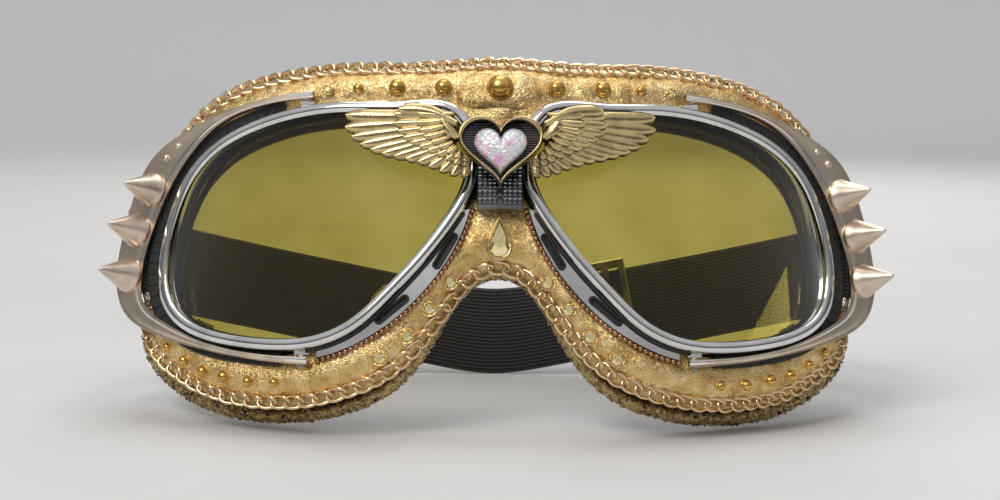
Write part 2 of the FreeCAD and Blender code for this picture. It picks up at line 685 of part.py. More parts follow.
nodes["bridge_band"] = bridge_band()
nodes["bridge_core"] = bridge_core()
nodes["bridge_screws"] = Part.makeCompound(screw_rods(SCREW_R - FIT))


def feather(tip, root, half, lift):
    """One long leaf from root to rounded tip, standing lift mm proud of the wing plate."""
    run = Vector(tip[0] - root[0], 0, tip[1] - root[1])
    side = Vector(-run.z, 0, run.x).normalize() * half
    start = Vector(root[0], AHEAD, root[1])
    points = [start, start + run * 0.35 + side, start + run * 0.85 + side * 0.9, start + run,
              start + run * 0.85 - side * 0.9, start + run * 0.35 - side]
    leaf = Part.Face(Part.Wire([spline(points, True).toShape()]))
    leaf = leaf.extrude(Vector(0, REACH - AHEAD, 0))
    return leaf.common(layer(BADGE_FRONT - lift, BADGE_FRONT + BADGE_THICK / 2))


def badge():
    wing = prism(WING).common(layer(BADGE_FRONT, BADGE_FRONT + BADGE_THICK))
    wing = wing.fuse([feather(*one) for one in FEATHERS])
    frame = heart_plate(1.0, BADGE_FRONT - HEART_LIFT, badge_back)
    casting = frame.fuse([wing, mirrored(wing)])
    return single(casting.cut(heart_plate(HEART_HOLE, AHEAD, 0)))


badge_back = BADGE_FRONT + BADGE_THICK
backing_front = badge_back - BACKING_THICK
nodes["badge_casting"] = badge()
nodes["heart_backing"] = heart_plate(HEART_HOLE - FIT / HEART_WIDE, backing_front, badge_back)
cab_back = backing_front - GAP
cab_wires = [heart(CAB_SHARE, cab_back)]
cab_wires += [heart(CAB_SHARE * share, cab_back - CAB_TALL * rise) for share, rise in CAB_DOME]
nodes["heart_cabochon"] = Part.makeLoft(cab_wires, True, True)
post_front = badge_back + GAP
nodes["badge_posts"] = Part.makeCompound([
    Part.makeCylinder(POST_R, BAND_FRONT - GAP - post_front, Vector(0, post_front, z), Vector(0, 1, 0))
    for z in BADGE_POSTS])

# ---------------------------------------------------------------- standing pose
flip = FreeCAD.Placement(Vector(0, 0, 0), FreeCAD.Rotation(Vector(1, 0, 0), -LEAN))
for name in nodes:
    nodes[name] = nodes[name].copy()
    nodes[name].Placement = flip.multiply(nodes[name].Placement)
rise = -nodes["edge_trim"].optimalBoundingBox(True, False).ZMin - PRESS
for shape in nodes.values():
    shape.translate(Vector(0, 0, rise))


def stood(x, y, z):
    """A point of the upright local frame, in the standing pose."""
    return Vector(x, z * SIN + y * COS, z * COS - y * SIN + rise)


# ---------------------------------------------------------------- strap
start = stood(-BAR_X - loop_out + GAP, bar_depth, STRAP_MID - STRAP_WIDE / 2)
half_strap = [start] + [Vector(*point) for point in STRAP]
x = STRAP_STRAIGHT
while x > STRAP_LEVEL + 2:
    half_strap.append(Vector(-x, STRAP_BACK, STRAP_RISE * (x - STRAP_LEVEL)))
    x -= 10
half_route = half_strap + [Vector(0, STRAP_BACK, -PRESS)]
route = half_route + [Vector(-p.x, p.y, p.z) for p in half_strap[::-1]]
route_curve = spline(route)


def strap_edge(inset):
    """The strap's lower edge, moved square to its run towards the head."""
    points = []
    for point in route:
        along = route_curve.tangent(route_curve.parameter(point))[0]
        side = Vector(along.y, -along.x, 0).normalize()
        points.append(point + side * inset)
    return spline(points).toShape()


def ribbon(near, far):
    face = Part.makeRuledSurface(strap_edge(near), strap_edge(far))
    return face.extrude(UP * STRAP_WIDE)


def bar_rod(side, radius):
    """A rod as long as the strap is wide, on a strap bar's line."""
    foot = stood(side * BAR_X, bar_depth, STRAP_MID - STRAP_WIDE / 2)
    return Part.makeCylinder(radius, STRAP_WIDE, foot, UP)


def end_loop(side):
    """The strap's turn round a bar."""
    return bar_rod(side, loop_out).cut(bar_rod(side, loop_in))


floor = box(-TALL * 2, TALL * 2, -TALL, 2 * TALL, -TALL, 0)
webbing = ribbon(0, STRAP_THICK).fuse([end_loop(-1), end_loop(1)])
nodes["strap_webbing"] = single(webbing.cut(floor))

# the free end comes back from the right bar on the inner side, through the adjuster
tail_front = stood(0, bar_depth + loop_out + POCKET_AIR, 0).y
tail = ribbon(STRAP_THICK + TAIL_GAP, 2 * STRAP_THICK + TAIL_GAP)
tail = tail.common(box(ADJUST_X - TAIL_OVER, TALL, tail_front, 2 * TALL, -TALL, TALL))
nodes["strap_tail"] = single(tail.cut([nodes["strap_webbing"], bar_rod(1, loop_out + TAIL_GAP)]))

run_way = Vector(1, 0, STRAP_RISE).normalize()
run_out = run_way.cross(UP).normalize()
run_up = run_out.cross(run_way)
if run_up.z < 0:
    run_up = run_up * -1
layers = 2 * STRAP_THICK + TAIL_GAP


def adjuster():
    """Slider frame round both layers of the strap, with a bar across its outer face."""
    low = Vector(ADJUST_X, STRAP_BACK, STRAP_RISE * (ADJUST_X - STRAP_LEVEL))
    middle = low + UP * (STRAP_WIDE / 2) - Vector(0, layers / 2, 0)
    tall = STRAP_WIDE / 2 + ADJUST_AIR
    thick = layers / 2 + ADJUST_AIR
    face = thick + ADJUST_FACE
    end = ADJUST_LONG / 2
    outer = box(-end, end, -face, face, -tall - ADJUST_WALL, tall + ADJUST_WALL)
    slot = box(-ADJUST_LONG, ADJUST_LONG, -thick, thick, -tall, tall)
    windows = [box(x0, x1, -2 * face, 2 * face, -tall, tall)
               for x0, x1 in ((ADJUST_END - end, -ADJUST_BAR / 2), (ADJUST_BAR / 2, end - ADJUST_END))]
    frame = outer.makeFillet(ADJUST_ROUND, outer.Edges).cut([slot] + windows)
    frame.Placement = FreeCAD.Placement(middle, FreeCAD.Rotation(run_way, run_out, run_up, "XYZ"))
    return single(frame)


nodes["strap_adjuster"] = adjuster()
for name in ("edge_trim", "face_lining"):
    nodes[name] = single(nodes[name].cut(floor))

# ---------------------------------------------------------------- origin and files
lows = [shape.BoundBox.YMin for shape in nodes.values()]
highs = [shape.optimalBoundingBox(True, False).YMax for shape in nodes.values()]
shift = -(min(lows) + max(highs)) / 2
for name, shape in nodes.items():
    shape.translate(Vector(0, shift, 0))
    shape.exportStep("parts/" + name + ".step")
    print(name, len(shape.Solids), "valid" if shape.isValid() else "BAD", round(shape.Volume, 1))

hinge = stood(-HINGE_X, hinge_depth, 0) + Vector(0, shift, 0)
print("rise", round(rise, 3), "shift", round(shift, 3))
print("left hinge point", hinge, "axis", UP)
print("adjuster way", run_way)
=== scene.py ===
"""Looks of the dressed-up aviator goggles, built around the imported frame.

Shapes are worked out in the mask's upright local frame, in millimetres: x across, y the depth
behind the front plane, z up, origin midway between the lenses. stand() leans them back and moves
them to the row frame, in metres.
"""
import json
from math import cos, pi, radians, sin, sqrt

import bpy
import numpy as np
from mathutils import Matrix, Vector
from mathutils.geometry import delaunay_2d_cdt


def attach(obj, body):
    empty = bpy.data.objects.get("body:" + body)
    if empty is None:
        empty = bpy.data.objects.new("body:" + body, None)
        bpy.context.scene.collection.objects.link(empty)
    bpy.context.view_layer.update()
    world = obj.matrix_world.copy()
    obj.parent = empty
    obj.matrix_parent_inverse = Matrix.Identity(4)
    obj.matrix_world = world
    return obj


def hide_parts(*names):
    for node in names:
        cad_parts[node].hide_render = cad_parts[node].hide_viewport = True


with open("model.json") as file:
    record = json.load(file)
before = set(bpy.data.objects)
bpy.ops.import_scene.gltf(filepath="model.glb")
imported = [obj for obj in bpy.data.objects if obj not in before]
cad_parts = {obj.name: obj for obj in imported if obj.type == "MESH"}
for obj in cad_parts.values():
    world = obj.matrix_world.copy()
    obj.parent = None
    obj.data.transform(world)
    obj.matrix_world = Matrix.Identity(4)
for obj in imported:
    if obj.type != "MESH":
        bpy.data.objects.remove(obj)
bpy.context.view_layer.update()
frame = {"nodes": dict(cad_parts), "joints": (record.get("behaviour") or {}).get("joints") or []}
rng = np.random.default_rng(7)

# ---- sizes in mm; solid pieces have those of the part's source
MM = 0.001
WRAP_R = 150.0
LEAN = radians(18.0)
SIN, COS = sin(LEAN), cos(LEAN)
UP = np.array([0.0, SIN, COS])
RIM_WIDTH = 2.8
LENS_FRONT, LENS_THICK, LENS_LAP = 2.1, 1.6, 1.3
PAD_FRONT, PAD_EDGE, PAD_BACK, LINING_BACK = 5.2, 12.5, 19.0, 21.3
SKIN_HALF, SKIN_MESH, LINING_MESH = 0.35, 1.15, 1.5
BRACKET_FRONT = 1.0
BAR_X, BAR_R = 89.5, 1.2
HINGE_X = 47.5
POCKET_IN, POCKET_LOW, POCKET_HIGH = 75.5, -13.5, 18.5
STRAP_WIDE, STRAP_THICK, STRAP_MID = 25.0, 1.7, 2.3
BADGE_FRONT, BADGE_THICK = -7.6, 1.6
HEART_WIDE, HEART_TALL, HEART_MID = 20.4, 17.0, 16.7
HEART_HOLE, CAB_SHARE, RIB_PITCH, SCALE_WIDE = 0.88, 0.62, 0.62, 2.5


def depth(x):
    """Depth of the wrap surface at x."""
    return WRAP_R - np.sqrt(WRAP_R ** 2 - np.square(x))


HINGE_DEPTH = depth(HINGE_X) + 3.6
hinge = next(j for j in frame["joints"] if j["name"] == "left_bracket_swing")["pos_m"]
SHIFT = hinge[1] / MM - HINGE_DEPTH * COS
RISE = hinge[2] / MM + HINGE_DEPTH * SIN
BAR_DEPTH = depth(BAR_X) + 7.5

# outlines of the left side as (x, z), the same as in the part's source
LENS = [(-11.4, 27.9), (-24.2, 29.4), (-38.5, 30.0), (-50.7, 29.3), (-61.0, 27.0), (-69.4, 23.4),
        (-76.5, 16.8), (-80.6, 8.0), (-82.8, -2.0), (-82.6, -10.0), (-80.0, -16.3), (-74.6, -20.6),
        (-65.9, -23.7), (-54.8, -25.5), (-44.8, -25.2), (-36.3, -21.9), (-28.5, -15.2),
        (-20.2, -6.3), (-12.8, 3.5), (-8.7, 11.2), (-7.8, 20.0)]
SEAM = [(0.0, 44.7), (-12.0, 43.9), (-25.0, 43.7), (-39.0, 44.3), (-53.0, 43.6), (-65.7, 41.4),
        (-76.5, 35.8), (-84.0, 25.5), (-87.6, 12.0), (-89.2, -3.0), (-90.2, -15.5), (-87.6, -25.2),
        (-80.5, -32.3), (-72.0, -37.2), (-60.5, -40.4), (-47.5, -41.0), (-36.5, -39.0),
        (-27.2, -34.8), (-20.6, -28.7), (-15.2, -20.9), (-10.6, -14.0), (-5.8, -9.3), (0.0, -7.6)]
BEADS = [(-6.5, 5.1), (-8.9, -1.8), (-12.6, -8.6), (-18.4, -16.0), (-25.0, -22.2), (-32.5, -27.0),
         (-38.0, -29.4), (-43.6, -30.9)]
BRACKET_OUTER = [(-46.0, 36.1), (-58.5, 35.2), (-69.9, 32.9), (-79.5, 29.4), (-88.6, 23.9),
                 (-93.5, 15.0), (-96.6, 4.0), (-97.7, -8.0), (-94.4, -16.2), (-87.5, -21.1),
                 (-77.7, -25.2), (-63.2, -29.4), (-46.0, -32.0)]
BRACKET_INNER = [(-46.0, 34.4), (-58.5, 33.6), (-69.8, 30.2), (-78.2, 22.8), (-84.0, 13.8),
                 (-88.0, 4.0), (-90.4, -6.0), (-89.0, -14.2), (-83.1, -19.4), (-75.0, -24.0),
                 (-65.5, -27.4), (-46.0, -30.2)]
BROW = [(-11.2, 35.6), (-9.2, 38.8), (0.0, 39.8), (9.2, 38.8), (11.2, 35.6), (9.0, 31.6),
        (0.0, 30.4), (-9.0, 31.6)]
SPIKES = [(-88.2, 15.4), (-92.2, 5.6), (-94.0, -5.8)]
BRACKET_STUDS = [(-84.6, 23.2, 0.95), (-81.4, 25.9, 0.7)]
MIDDLE_PEARL = (0.0, 35.8)
BROW_PEARLS = [(-13.9, 36.2, 2.0), (-25.3, 36.5, 1.95), (-35.0, 36.7, 1.3)]
LOWER_PEARLS = [(-83.0, -25.0, 1.1), (-78.2, -28.8, 1.3), (-73.0, -31.9, 1.5), (-67.4, -33.6, 1.5),
                (-61.0, -35.2, 1.4), (-54.3, -35.8, 1.2)]
NOSE_CRYSTALS = [(-11.8, -12.2), (-16.7, -18.7), (-22.0, -25.3), (-28.4, -30.6)]
BROW_CRYSTALS = [(-42.4, 36.5)]
CRYSTAL_R, TINY_R, BEAD_R = 1.7, 1.0, 0.7
VENTS = [((-11.0, -1.6), (-15.0, -8.4)), ((-22.6, -16.6), (-28.8, -21.6))]
VENT_R, WIRE_DEPTH, WIRE_PITCH, WIRE_R = 0.85, 3.9, 0.45, 0.1
TEAR_MID, TEAR_WIDE, TEAR_TALL = -1.4, 6.0, 10.0
BAND_LOW, BAND_HIGH = 4.4, 19.9
WING_TIPS = [(-37.2, 26.4), (-37.4, 24.0), (-35.6, 21.0), (-32.0, 18.2), (-26.0, 16.0), (-20.0, 14.4),
             (-15.4, 12.4), (-11.8, 11.0), (-8.6, 10.6)]
WING_ROOTS = [(-11.0, 25.6), (-12.2, 23.4), (-12.4, 21.6), (-11.8, 19.6), (-10.2, 17.4), (-8.6, 15.8)]
WING_WEB = [(-10.6, 24.4), (-16.8, 26.6), (-26.0, 26.8), (-34.0, 26.2), (-34.0, 23.6), (-30.5, 20.0),
            (-25.0, 17.6), (-18.6, 15.6), (-13.6, 13.2), (-10.0, 13.0), (-10.4, 18.0)]
STRAP = [(-98.1, 45.5, 27.0), (-99.2, 56.0, 25.0), (-96.2, 69.0, 22.2), (-87.6, 80.0, 18.6),
         (-75.0, 88.4, 14.6)]
STRAP_BACK, STRAP_RISE, STRAP_LEVEL, STRAP_STRAIGHT, STRAP_RIBS = 93.0, 0.2, 6.0, 58.0, 24
LENS_MIDDLE, BROW_MIDDLE = (-45.0, 2.0), (0.0, 35.6)
TRIM_R = 1.85
TRIM_LOOPS = 6000
CHAIN_LINKS = 138
CAMERA_FAR = 0.449


# ---- geometry helpers
def stand(points):
    """Local millimetres to the row frame in metres."""
    p = np.asarray(points, float).reshape(-1, 3)
    y = p[:, 2] * SIN + p[:, 1] * COS + SHIFT
    z = p[:, 2] * COS - p[:, 1] * SIN + RISE
    return np.column_stack([p[:, 0], y, z]) * MM


def stood(points):
    """Local millimetres to the standing pose in millimetres, before the shift to the origin."""
    return stand(points) / MM - np.array([0, SHIFT, 0])


def smooth(points, count, closed=True):
    """count points evenly spaced along the cubic spline through the given ones."""
    p = np.array(points, float)
    if closed:
        p = np.vstack([p, p[:1]])
    h = np.linalg.norm(np.diff(p, axis=0), axis=1)
    slope = np.diff(p, axis=0) / h[:, None]
    n = len(h)
    size = n if closed else n + 1
    a = np.zeros((size, size))
    b = np.zeros((size, p.shape[1]))
    for i in range(size):
        if not closed and i in (0, n):
            near = 1 if i == 0 else n - 1
            a[i, i], a[i, near], b[i] = 2, 1, 3 * slope[min(i, n - 1)]
            continue
        before, after = h[i - 1], h[i % n]
        a[i, (i - 1) % size] += after
        a[i, i] += 2 * (before + after)
        a[i, (i + 1) % size] += before
        b[i] = 3 * (after * slope[i - 1] + before * slope[i % n])
    m = np.linalg.solve(a, b)
    if closed:
        m = np.vstack([m, m[:1]])
    u = np.linspace(0, 1, 24, endpoint=False)[:, None]
    h = h[:, None, None]
    dense = ((2 * u ** 3 - 3 * u ** 2 + 1) * p[:-1, None] + (u ** 3 - 2 * u ** 2 + u) * h * m[:-1, None]
             + (3 * u ** 2 - 2 * u ** 3) * p[1:, None] + (u ** 3 - u ** 2) * h * m[1:, None])
    dense = np.vstack([dense.reshape(-1, p.shape[1]), p[-1:]])
    run = np.concatenate([[0], np.cumsum(np.linalg.norm(np.diff(dense, axis=0), axis=1))])
    at = np.linspace(0, run[-1], count, endpoint=not closed)
    return np.column_stack([np.interp(at, run, line) for line in dense.T])


def unit(v):
    """Vectors scaled to length 1."""
    v = np.asarray(v, float)
    return v / np.linalg.norm(v, axis=-1, keepdims=True)


def turns(count):
    """Angles evenly spaced round a circle."""
    return np.linspace(0, 2 * pi, count, endpoint=False)


def outward(outline):
    """Unit normals of a closed outline in the x-z plane, pointing out of it."""
    along = unit(np.roll(outline, -1, axis=0) - np.roll(outline, 1, axis=0))
    x, z = outline.T
    side = 1 if np.sum(x * np.roll(z, -1) - np.roll(x, -1) * z) > 0 else -1
    return side * np.column_stack([along[:, 1], -along[:, 0]])


def grown(outline, amount):
    return outline + outward(outline) * amount


def shrunk(outline, middle, share):
    """An outline scaled about its middle."""
    return np.add(middle, (outline - np.array(middle)) * share)


def strip(rows, closed=True, wrap=True):
    """Vertices and quads through rows of points; closed joins each row's ends, wrap the rows'."""
    count = len(rows[0])
    faces = []
    for i in range(len(rows) if wrap else len(rows) - 1):
        j = (i + 1) % len(rows)
        for k in range(count if closed else count - 1):
            n = (k + 1) % count
            faces.append((i * count + k, i * count + n, j * count + n, j * count + k))
    return np.vstack(rows), faces


def capped(rows, first=True):
    """Rows of points as a closed shape; without first, its first end stays open."""
    verts, faces = strip(rows, True, False)
    count = len(rows[0])
    if first:
        faces.append(tuple(reversed(range(count))))
    faces.append(tuple(range(len(verts) - count, len(verts))))
    return verts, faces


def bar(rows):
    """A closed bar from rows that run along it."""
    verts, faces = strip(rows, False, True)
    count = len(rows[0])
    starts = range(0, len(verts), count)
    faces.append(tuple(reversed(starts)))
    faces.append(tuple(s + count - 1 for s in starts))
    return verts, faces


def hoop(a, b):
    """Quads between two closed loops of vertex numbers."""
    return [(a[i - 1], a[i], b[i], b[i - 1]) for i in range(len(a))]


def faceted(rows):
    """A capped shape whose sides are cut into triangles."""
    verts, faces = capped(rows)
    split = [f for f in faces if len(f) != 4]
    for a, b, c, d in (f for f in faces if len(f) == 4):
        split += [(a, b, c), (a, c, d)]
    return verts, split


def on_wrap(xz, offset):
    return np.column_stack([xz[:, 0], depth(xz[:, 0]) + offset, xz[:, 1]])


def sweep(outline, profile):
    """A ring whose section is the profile's (growth, offset) points."""
    return strip([on_wrap(grown(outline, g), o) for g, o in profile])


def rounded(g0, g1, o0, o1, r):
    """A rounded rectangle as profile points, five to a corner."""
    corners = ((g1 - r, o1 - r, 0), (g0 + r, o1 - r, 90), (g0 + r, o0 + r, 180), (g1 - r, o0 + r, 270))
    return [(x + r * cos(t), y + r * sin(t)) for x, y, turn in corners
            for t in np.radians(np.linspace(turn, turn + 90, 5))]


def mirrored(verts, faces):
    return verts * np.array([-1, 1, 1]), [tuple(reversed(f)) for f in faces]


def joined(parts):
    """Several (verts, faces) as one."""
    faces, start = [], 0
    for verts, some in parts:
        faces += [tuple(i + start for i in face) for face in some]
        start += len(verts)
    return np.vstack([verts for verts, _ in parts]), faces


def stamped(part, places):
    """Copies of a part at (origin, x axis, y axis, z axis) places."""
    verts, faces = part
    return joined([(verts @ np.array(axes) + origin, faces) for origin, *axes in places])


def seat(x, z, offset, roll=0.0):
    """A place on the wrap surface whose z axis is the surface's outward normal."""
    out = unit([x / WRAP_R, -sqrt(1 - (x / WRAP_R) ** 2), 0])
    up = np.array([0, 0, 1.0])
    side = np.cross(up, out)
    c, s = cos(roll), sin(roll)
    return np.array([x, depth(x) + offset, z]), c * side + s * up, c * up - s * side, out


def lathe(profile, steps):
    """A turned part from (radius, height) points, closed at both ends."""
    t = turns(steps)
    return capped([np.column_stack([r * np.cos(t), r * np.sin(t), np.full(steps, h)]) for r, h in profile])


def tube(path, radius, sides, closed=True):
    """A wire of round section along a path of 3-D points."""
    if closed:
        along = unit(np.roll(path, -1, axis=0) - np.roll(path, 1, axis=0))
    else:
        along = unit(np.gradient(path, axis=0))
    side = unit(np.cross(along, [0.13, 0.27, 1.0]))
    t = turns(sides)
    rows = [p + (np.outer(np.cos(t), s) + np.outer(np.sin(t), o)) * radius
            for p, s, o in zip(path, side, np.cross(along, side))]
    return strip(rows) if closed else capped(rows)


def inside(points, outline):
    """Which (x, z) points lie inside a closed outline."""
    x, z = points[:, 0][:, None], points[:, 1][:, None]
    a, b = outline, np.roll(outline, -1, axis=0)
    crosses = (a[:, 1] > z) != (b[:, 1] > z)
    span = np.where(b[:, 1] == a[:, 1], 1e-9, b[:, 1] - a[:, 1])
    hit = x < (b[:, 0] - a[:, 0]) * (z - a[:, 1]) / span + a[:, 0]
    return (crosses & hit).sum(axis=1) % 2 == 1


def distance(points, outline):
    """Distance of each (x, z) point from a dense outline."""
    gaps = points[:, None, :] - outline[None, :, :]
    return np.sqrt(np.square(gaps).sum(axis=2).min(axis=1))


def filled(outer, holes, spacing):
    """Triangles over an outline with holes: the points and the faces."""
    def covered(points):
        return inside(points, outer) & ~np.any([inside(points, hole) for hole in holes], axis=0)

    loops = [outer, *holes]
    low, high = outer.min(axis=0), outer.max(axis=0)
    grid = []
    for i, z in enumerate(np.arange(low[1], high[1], spacing * 0.87)):
        xs = np.arange(low[0], high[0], spacing) + i % 2 * spacing / 2
        grid.append(np.column_stack([xs, np.full(len(xs), z)]))
    grid = np.vstack(grid)
    clear = np.min([distance(grid, loop) for loop in loops], axis=0) > spacing * 0.6
    edges, start = [], 0
    for loop in loops:
        edges += [(start + i, start + (i + 1) % len(loop)) for i in range(len(loop))]
        start += len(loop)
    points = np.vstack([*loops, grid[covered(grid) & clear]])
    verts, _, faces, *_ = delaunay_2d_cdt([Vector(p) for p in points], edges, [], 0, 1e-6)
    points = np.array([tuple(v) for v in verts])
    middles = np.array([points[list(f)].mean(axis=0) for f in faces])
    return points, [tuple(f) for f, ok in zip(faces, covered(middles)) if ok]


def lumps(points, scale, seed):
    """Smooth noise from a few waves, about -1 to 1."""
    wave = np.random.default_rng(seed)
    total = np.zeros(len(points))
    for _ in range(9):
        way = wave.normal(size=points.shape[1]) * scale
        total += np.sin(points @ way + wave.uniform(0, 2 * pi))
    return total / 4.2


# ---- material helpers
class Nodes:
    """Adds nodes to a node tree."""

    def __init__(self, tree):
        self.tree = tree

    def node(self, kind, **values):
        made = self.tree.nodes.new("ShaderNode" + kind)
        for key, value in values.items():
            setattr(made, key, value)
        return made

    def feed(self, value, socket):
        """Links an output to a socket, or sets the socket to a number or a colour."""
        if hasattr(value, "links"):
            self.tree.links.new(value, socket)
        else:
            socket.default_value = value if isinstance(value, (int, float)) else (*value, 1.0)

    def ramp(self, fac, *stops):
        """A colour ramp over (place, colour or grey) stops."""
        made = self.node("ValToRGB")
        elements = made.color_ramp.elements
        elements.remove(elements[1])
        for i, (at, color) in enumerate(stops):
            element = elements.new(at) if i else elements[0]
            element.position = at
            element.color = (*color, 1.0) if isinstance(color, tuple) else (color, color, color, 1.0)
        self.feed(fac, made.inputs["Fac"])
        return made.outputs["Color"]

    def mix(self, fac, a, b, blend="MIX"):
        made = self.node("Mix", data_type="RGBA", blend_type=blend)
        for value, at in ((fac, 0), (a, 6), (b, 7)):
            self.feed(value, made.inputs[at])
        return made.outputs[2]


class Finish(Nodes):
    """A Principled material, the nodes that feed it and a material slot name kept with it."""

    def __init__(self, name, color, metallic=0.0, rough=0.5, slot=None, **sockets):
        self.mat = bpy.data.materials.new(name)
        self.mat.use_nodes = True
        super().__init__(self.mat.node_tree)
        self.slot = slot or name
        self.shader = self.tree.nodes["Principled BSDF"].inputs
        self.color(color)
        for key, value in {"Metallic": metallic, "Roughness": rough, **sockets}.items():
            self.feed(value, self.shader[key.replace("_", " ")])
        self.place = self.node("TexCoord").outputs["Object"]

    def texture(self, kind, per_mm, stretch=(1, 1, 1), **inputs):
        """A texture with so many features per millimetre."""
        scaled = self.node("Mapping")
        scaled.inputs["Scale"].default_value = [s * per_mm / MM for s in stretch]
        self.feed(self.place, scaled.inputs["Vector"])
        made = self.node("Tex" + kind)
        self.feed(scaled.outputs["Vector"], made.inputs["Vector"])
        for key, value in {"Scale": 1.0, **inputs}.items():
            if key in made.inputs:
                made.inputs[key].default_value = value
            else:
                setattr(made, key, value)
        return made.outputs[0]

    def noise(self, per_mm, detail, rough=0.5, distort=0.0, stretch=(1, 1, 1)):
        return self.texture("Noise", per_mm, stretch, Detail=detail, Roughness=rough, Distortion=distort)

    def color(self, value, *stops):
        """Sets the colour, or feeds it from a ramp over the stops."""
        self.feed(self.ramp(value, *stops) if stops else value, self.shader["Base Color"])

    def rough(self, fac, *stops):
        self.feed(self.ramp(fac, *stops), self.shader["Roughness"])

    def bump(self, height, strength, size_mm):
        """Adds a bump of the given height in mm; later bumps stack on earlier ones."""
        made = self.node("Bump")
        self.feed(strength, made.inputs["Strength"])
        self.feed(size_mm * MM, made.inputs["Distance"])
        self.feed(height, made.inputs["Height"])
        for old in self.shader["Normal"].links:
            self.feed(old.from_socket, made.inputs["Normal"])
        self.feed(made.outputs["Normal"], self.shader["Normal"])

    def attribute(self, name):
        return self.node("Attribute", attribute_name=name).outputs["Fac"]


def metal(name, color, rough, wear, grain=(1, 1, 1), grime=0.0, slot=None):
    """Metal with fine scratches, cloudy roughness and, if asked, darker grime."""
    f = Finish(name, color, 1.0, rough, slot)
    scratch = f.noise(1.6, 6.0, 0.7, stretch=grain)
    cloud = f.noise(0.12, 3.0)
    f.rough(f.mix(0.5, scratch, cloud), (0.3, max(0.02, rough - wear)), (0.7, rough + wear))
    f.bump(scratch, 0.12, 0.02)
    f.color(cloud, (0.25, tuple(c * (0.8 - grime) for c in color)), (0.62, color))
    return f


def plating_with_wear_and_highlight():
    """Champagne plating, rubbed to bright metal where its attribute says so; on the inner bevel that
    brightness is partly wear and partly a painted highlight.
    """
    f = metal("champagne_plating", (0.78, 0.65, 0.51), 0.34, 0.1, (6, 1, 1), 0.06, "champagne_metal")
    old = f.shader["Base Color"].links[0].from_socket
    edge = f.mix(0.35, f.attribute("wear_and_highlight"), f.noise(0.5, 6.0, 0.7))
    # the bright colour on the inner bevel is partly wear and partly a painted highlight
    f.color(f.mix(f.ramp(edge, (0.42, 0.0), (0.66, 1.0)), old, (0.93, 0.89, 0.83)))
    f.rough(edge, (0.42, 0.36), (0.66, 0.16))
    return f


def satin_pearl():
    """Gold pearlised dome: a lacquer over a satin metal base."""
    f = Finish("half_pearl", (0.66, 0.38, 0.08), 0.95, 0.26, Coat_Weight=0.4, Coat_Roughness=0.08)
    haze = f.noise(0.8, 4.0)
    f.color(haze, (0.3, (0.52, 0.28, 0.05)), (0.65, (0.78, 0.49, 0.12)))
    f.bump(haze, 0.15, 0.05)
    return f


def gold_leather():
    """Foiled leather: crackled gold over brown, creased, with rubbed and dull patches."""
    f = Finish("gold_leather", (0.62, 0.44, 0.17), 0.95, 0.34)
    cells = f.texture("Voronoi", 0.5, feature="DISTANCE_TO_EDGE", Randomness=1.0)
    cracks = f.ramp(cells, (0.0, 0.0), (0.035, 1.0))
    fine = f.noise(2.2, 8.0, 0.75)
    cloud = f.noise(0.17, 6.0, 0.65, 0.6)
    crease = f.noise(0.55, 4.0, 0.6, 2.2)
    foil = f.ramp(cloud, (0.28, (0.38, 0.22, 0.07)), (0.42, (0.7, 0.47, 0.18)),
                  (0.6, (0.88, 0.66, 0.32)), (0.75, (0.95, 0.82, 0.54)))
    speck = f.ramp(fine, (0.26, (0.66, 0.5, 0.3)), (0.4, 1.0))
    f.color(f.mix(1.0, f.mix(cracks, (0.52, 0.33, 0.13), foil), speck, "MULTIPLY"))
    f.rough(fine, (0.3, 0.16), (0.7, 0.32))
    f.bump(cracks, 0.15, 0.05)
    f.bump(fine, 0.16, 0.05)
    f.bump(f.ramp(crease, (0.42, 0.0), (0.5, 1.0), (0.58, 0.0)), 0.35, 0.2)
    f.bump(cloud, 0.6, 1.0)
    return f


def tinted_glass():
    """Yellow lens: a clear tint with a coated surface."""
    f = Finish("tinted_lens", (0.56, 0.46, 0.09), 0.0, 0.02, Transmission_Weight=1.0, IOR=1.42)
    haze = f.noise(0.05, 2.0)
    f.color(haze, (0.3, (0.4, 0.33, 0.05)), (0.7, (0.5, 0.42, 0.09)))
    f.rough(haze, (0.3, 0.012), (0.7, 0.03))
    return f


def fabric(name, color, per_mm, height, sheen):
    f = Finish(name, color, 0.0, 0.85, Sheen_Weight=sheen)
    fuzz = f.noise(per_mm * 1.7, 4.0)
    f.color(fuzz, (0.35, color), (0.75, tuple(min(1.0, c * 1.8 + 0.01) for c in color)))
    f.bump(f.texture("Voronoi", per_mm, Randomness=0.6), 0.6, height)
    f.bump(fuzz, 0.4, height)
    return f


def webbing():
    """Black ribbed elastic: fine cross threads, with a painted highlight on the rib tops and painted shade
    in the valleys between them.
    """
    f = Finish("strap_webbing", (0.018, 0.018, 0.02), 0.0, 0.72, Sheen_Weight=0.25)
    thread = f.noise(3.0, 5.0, stretch=(1, 1, 0.35))
    # painted highlight and shade: the rib value colours the rib tops lighter and the valleys darker
    rib = f.ramp(f.attribute("rib"), (0.2, (0.006, 0.006, 0.007)), (0.9, (0.075, 0.072, 0.068)))
    f.color(f.mix(1.0, rib, f.ramp(thread, (0.35, 0.35), (0.7, 1.0)), "MULTIPLY"))
    f.rough(thread, (0.3, 0.6), (0.7, 0.85))
    f.bump(thread, 0.6, 0.1)
    return f


def lurex():
    """Looped metallic yarn; each loop's own tone picks gold, black or silver."""
    f = Finish("lurex_yarn", (0.5, 0.4, 0.2), 0.8, 0.3, "lurex_trim")
    shade = f.ramp(f.attribute("tone"), (0.0, (0.012, 0.01, 0.008)), (0.2, (0.1, 0.065, 0.03)),
                   (0.42, (0.56, 0.39, 0.16)), (0.8, (0.84, 0.64, 0.32)), (0.95, (0.85, 0.82, 0.76)))
    glint = f.noise(4.0, 3.0)
    f.color(f.mix(1.0, shade, f.ramp(glint, (0.35, 0.45), (0.6, 1.0)), "MULTIPLY"))
    f.bump(glint, 0.7, 0.12)
    return f


